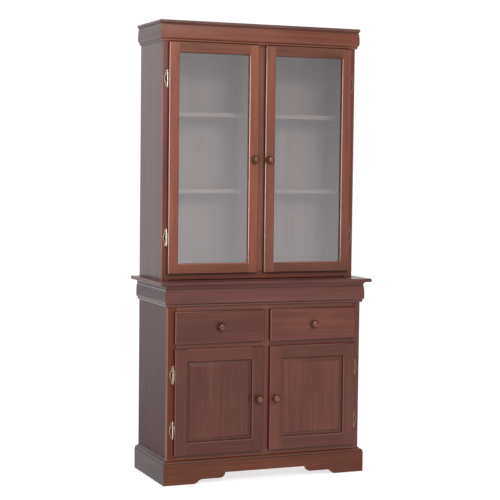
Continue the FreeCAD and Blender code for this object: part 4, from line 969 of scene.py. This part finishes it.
def pane_glass():
    """Clear glass: it lets light through with a faint tint, and mirrors more at a glance.

    The mirrored share is s + (1 - s) (1 - cos a) to the fifth, with s its share seen straight on.
    """
    tree, shader = new_material("pane_glass")
    tree.nodes.remove(shader)
    through = node(tree, "BsdfTransparent", Color=(0.90, 0.92, 0.92, 1))
    mirror = node(tree, "BsdfGlossy", Color=WHITE, Roughness=0.03)
    glance = node(tree, "LayerWeight", Blend=0.5)
    steep = node(tree, "Math", {"operation": "POWER"}, _0=glance.outputs["Facing"], _1=5.0)
    share = node(tree, "MapRange", Value=steep, To_Min=MIRRORED_SHARE, To_Max=1.0)
    pane = node(tree, "MixShader", _0=share, _1=through, _2=mirror)
    feed(tree, tree.nodes["Material Output"], Surface=pane)


def glazing_beads(low, high):
    """Two beads across the foot and the head of a pane, and two upright between them."""
    foot, head = low.z + REBATE_WIDE, high.z - REBATE_WIDE
    return [planed_board(low, (high.x, high.y, foot), ALONG_X),
            planed_board((low.x, low.y, head), high, ALONG_X),
            planed_board((low.x, low.y, foot), (low.x + REBATE_WIDE, high.y, head), ALONG_Z),
            planed_board((high.x - REBATE_WIDE, low.y, foot), (high.x, high.y, head), ALONG_Z)]


pane_glass()
for side in ("left", "right"):
    door = f"hutch_door_{side}"
    stain = GLAZED_DOOR_STAINS[side]
    members = door_frame(f"{door}_frame", HUTCH_MEMBER, GLASS_REBATE, GLAZED_DOOR_TONES[side],
                         DOOR_CHAMFER)
    make_piece(f"{door}_stiles_and_rails", f"{door}_frame", members, [stain], door)
    pane = planed_board(*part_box(f"{door}_glass"), ALONG_Z, (EASE / 2,) * 4)
    make_piece(f"{door}_pane", f"{door}_glass", [pane], ["pane_glass"], door)
    make_piece(f"{door}_glazing_beads", f"{door}_beads", glazing_beads(*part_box(f"{door}_beads")),
               [stain], door)

# ---- knobs ----
# Six turned knobs, each with a flared foot, a waist and a domed head, stained and polished.
# The neck and foot are painted dark, and the dark fades over the head's rim towards its middle: painted
# shade.

KNOB_SIDES, KNOB_STEPS = 56, 12
KNOB_TURNS = ((0.0095, 0.0, -70), (0.0065, 0.0075, 45), (0.0175, None, 66), (0.012, None, 24))
KNOB_EYE = 0.0002
KNOB_SHADE_FROM, KNOB_SHADE_RUN = 0.0095, 0.006
stained_wood("knob_polish", (92, 18, 11), (145, 31, 17), (200, 49, 27), roughness=0.3, coat=0.35,
             coat_roughness=0.3)


def turned_knob(cad):
    """Revolve the profile (radius, height off the front) about the knob's own line."""
    low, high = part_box(cad)
    length = high.y - low.y
    foot, waist, rim, crown = KNOB_TURNS
    crown_height = length - crown[0] * math.tan(math.radians(crown[2] / 2))
    rim_slope = math.radians(crown[2] + rim[2] / 2)
    rim_height = crown_height - (rim[0] - crown[0]) * math.tan(rim_slope)
    profile = arc_outline([(0.0, 0.0, 0), foot, waist, (rim[0], rim_height, rim[2]),
                           (crown[0], crown_height, crown[2]), (0.0, length, 0)], KNOB_STEPS)
    radius, height = np.maximum(profile[:, :1], KNOB_EYE), profile[:, 1:]
    cosine, sine = circle(KNOB_SIDES)
    grid = np.stack([(low.x + high.x) / 2 + radius * cosine, high.y - height + 0 * sine,
                     (low.z + high.z) / 2 + radius * sine], axis=-1)
    # Painted shade: full below the rim, fading over the head.
    painted_shade = np.where(height < rim_height, 1, np.clip((radius - KNOB_SHADE_FROM) / KNOB_SHADE_RUN, 0, 1))
    return Shell(grid, ALONG_Y, painted_shade=painted_shade)


for front in ("base_door_left", "base_door_right", "hutch_door_left", "hutch_door_right",
              "drawer_left", "drawer_right"):
    make_piece(f"{front}_turned_knob", f"{front}_knob", [turned_knob(f"{front}_knob")],
               ["knob_polish"], front)

# ---- hinges ----
# Eight brass butt hinges with shaped leaves. The frame leaf is screwed to the stile's face and
# the door leaf to the door's edge, their knuckles mesh, and a pin with ball tips runs through.

PIN_OFFSET = 0.0038
LEAF_THICK, LEAF_EASE, LEAF_RIM = 0.0012, 0.0003, 0.0015
LEAF_FACE = PIN_OFFSET - LEAF_THICK
LEAF_SWELL, LEAF_CURVES = math.radians(15), (-35, 60)
KNUCKLE_RADIUS, KNUCKLE_LENGTH, KNUCKLE_GAP = 0.0035, 0.014, 0.0003
HINGE_HALF = 0.035
PIN_RADIUS, BORE_RADIUS = 0.0015, 0.0016
PIN_TIP = ((0.0028, 0.0), (0.0028, 0.0008), (0.0016, 0.0013), (0.0020, 0.0018),
           (0.0026, 0.0028), (0.0024, 0.0040), (0.0014, 0.0050), (0.0002, 0.0053))
HINGE_INSET = {"base": 0.112, "hutch": 0.1575}
SCREW_RADIUS, SCREW_RISE, SCREW_SIDES = 0.0018, 0.0006, 24
SCREW_CROWN = 1.05
SCREW_RINGS = (0.999, 0.85, 0.6, 0.35, 0.12)
SLOT_HALF, SLOT_FLOOR = 0.13, 0.35
ROUND_SIDES = 32
LEAF_FINISHES = ("polished_brass", "darkened_brass")

# Each leaf: its reach, the reach at its ends, half its height, its knuckles and the room each
# one leaves at its ends, and its screws as (out, up).
FRAME_LEAF = (0.014, 0.0085, HINGE_HALF, (-2, 0, 2), 0.0,
              ((0.0062, -0.024), (0.0095, 0.0), (0.0062, 0.024)))
DOOR_LEAF = (0.012, 0.007, 1.5 * KNUCKLE_LENGTH - KNUCKLE_GAP, (-1, 1), KNUCKLE_GAP,
             ((0.0055, -0.014), (0.0085, 0.0), (0.0055, 0.014)))


def aged_brass(name, dark, bright, rubbing_and_highlight_bright, smooth, dull):
    """Brass that has darkened with age in clouds, and is bright where the mesh marks it: rubbing, and a
    painted highlight.
    """
    tree, shader = new_material(name)
    place = node(tree, "TexCoord").outputs["Object"]
    cloud = node(tree, "TexNoise", Vector=place, Scale=160.0, Detail=3.0)
    metal = colour_ramp(tree, cloud, (0.3, dark), (0.6, bright))
    rubbing_and_highlight = board_look(tree)["Y"]
    roughness = node(tree, "MapRange", Value=cloud, To_Min=smooth, To_Max=dull)
    feed(tree, shader, Base_Color=mix(tree, metal, (*rubbing_and_highlight_bright, 1), rubbing_and_highlight, "RGBA"),
         Roughness=roughness, Metallic=1.0)


# The plates' near-black brass is an aged finish and also a painted dark reflection of the dim room they
# face.
aged_brass("polished_brass", (0.38, 0.31, 0.21), (0.82, 0.73, 0.56), (0.90, 0.82, 0.67),
           smooth=0.14, dull=0.26)
aged_brass("darkened_brass", (0.022, 0.012, 0.008), (0.07, 0.042, 0.026), (0.80, 0.69, 0.53),
           smooth=0.4, dull=0.55)


def turned_rod(x, y, profile, bored=False):
    """Revolve (radius, height) pairs about an upright line at x, y."""
    radius, height = np.array(profile, float).T[..., None]
    cosine, sine = circle(ROUND_SIDES)
    grid = np.stack([x + radius * cosine, y + radius * sine, height + 0 * sine], axis=-1)
    return Shell(grid, ALONG_Z, bored=bored)


def knuckle(x, y, low, high):
    """A rolled knuckle with eased ends and a bore for the pin."""
    soft = LEAF_EASE
    return turned_rod(x, y, [(BORE_RADIUS, low), (KNUCKLE_RADIUS - soft, low),
                             (KNUCKLE_RADIUS, low + soft), (KNUCKLE_RADIUS, high - soft),
                             (KNUCKLE_RADIUS - soft, high), (BORE_RADIUS, high)], bored=True)


def leaf_plate(reach, end, half, place):
    """A leaf through its thickness, straight at the pin, with a free edge that swells in the middle.

    place turns (out, up, depth) into a point.
    """
    shoulder = half / 2
    waist = reach - shoulder * math.tan(LEAF_SWELL)
    hollow, swell = LEAF_CURVES
    outline = arc_outline([(0, -half, 0), (end, -half, hollow), (waist, -shoulder, swell),
                           (waist, shoulder, hollow), (end, half, 0), (0, half, 0)])
    rings = []
    for depth, inset in ((LEAF_FACE, LEAF_RIM), (LEAF_FACE, LEAF_EASE), (LEAF_FACE + LEAF_EASE, 0),
                         (PIN_OFFSET, 0)):
        out, up = (outline - inset * outline_normals(outline)).T
        rings.append(place(out, up, np.full_like(out, depth)))
    # The eased rim is marked bright: rubbing, and a painted highlight.
    rubbing_and_highlight = np.array([0, 1, 1, 0])[:, None]
    return Shell(rings, ALONG_Z, rubbing_and_highlight, finish=1)


def screw_head(out, up, place):
    """A domed head: rise = SCREW_RISE (SCREW_CROWN - d2), less a slot where |across| is small."""
    cosine, sine = circle(SCREW_SIDES)
    rings = [place(out + SCREW_RADIUS * cosine, up + SCREW_RADIUS * sine,
                   np.full(SCREW_SIDES, LEAF_FACE))]
    for share in SCREW_RINGS:
        across, along = share * cosine, share * sine
        rise = SCREW_RISE * (SCREW_CROWN - share ** 2)
        rise = np.where(np.abs(across) < SLOT_HALF, rise * SLOT_FLOOR, rise)
        rings.append(place(out + SCREW_RADIUS * across, up + SCREW_RADIUS * along, LEAF_FACE - rise))
    return Shell(rings, ALONG_Z, finish=1)


def hinge_leaf(leaf, x, y, z, place):
    """A leaf's plate, its knuckles about the pin at x, y, and its screws."""
    reach, end, half, knuckles, gap, screws = leaf
    shells = [leaf_plate(reach, end, half, place)]
    shells += [knuckle(x, y, z + (k - 0.5) * KNUCKLE_LENGTH + gap, z + (k + 0.5) * KNUCKLE_LENGTH - gap)
               for k in knuckles]
    return shells + [screw_head(out, up, place) for out, up in screws]


def hinge_pin(x, y, z):
    """A pin with a cap and a ball at each end."""
    profile = [(radius, z - HINGE_HALF - height) for radius, height in PIN_TIP[::-1]]
    profile += [(PIN_RADIUS, z - HINGE_HALF), (PIN_RADIUS, z + HINGE_HALF)]
    profile += [(radius, z + HINGE_HALF + height) for radius, height in PIN_TIP]
    return turned_rod(x, y, profile)


frame_leaves, pins = [], []
for tier in ("base", "hutch"):
    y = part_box(f"{tier}_stile_left")[0].y - PIN_OFFSET
    for side, sign in (("left", -1), ("right", 1)):
        door = f"{tier}_door_{side}"
        low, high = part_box(f"{door}_frame")
        x = (high.x if sign > 0 else low.x) + sign * PIN_OFFSET
        door_leaves = []
        for z in (low.z + HINGE_INSET[tier], high.z - HINGE_INSET[tier]):

            def on_frame(out, up, depth):
                return np.stack([x + sign * out, y + depth, z + up], axis=-1)

            def on_door(out, up, depth):
                return np.stack([x - sign * depth, y - out, z + up], axis=-1)

            frame_leaves += hinge_leaf(FRAME_LEAF, x, y, z, on_frame)
            door_leaves += hinge_leaf(DOOR_LEAF, x, y, z, on_door)
            pins.append(hinge_pin(x, y, z))
        make_piece(f"{door}_brass_leaves", f"{door}_hinge_leaves", door_leaves, LEAF_FINISHES, door)
make_piece("hinge_brass_frame_leaves", "hinge_frame_leaves", frame_leaves, LEAF_FINISHES)
make_piece("hinge_brass_pins", "hinge_pins", pins, ["polished_brass"])

# ---- pegs and catches ----
# Round brass shelf pegs, and brown plastic bodies of the magnetic catches.


def catch_plastic():
    """Brown plastic with a fine speckle."""
    tree, shader = new_material("catch_plastic")
    place = node(tree, "TexCoord").outputs["Object"]
    speckle = node(tree, "TexNoise", Vector=place, Scale=900.0, Detail=2.0)
    relief = node(tree, "Bump", Height=speckle, Strength=0.3, Distance=0.0001)
    tint = colour_ramp(tree, speckle, (0, (0.10, 0.050, 0.028)), (1, (0.16, 0.085, 0.050)))
    feed(tree, shader, Base_Color=tint, Roughness=0.45, Normal=relief)


catch_plastic()
for cad, finish in (("shelf_pegs", "polished_brass"), ("door_catches", "catch_plastic")):
    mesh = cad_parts[cad].data
    mesh.materials.clear()
    mesh.materials.append(bpy.data.materials[finish])
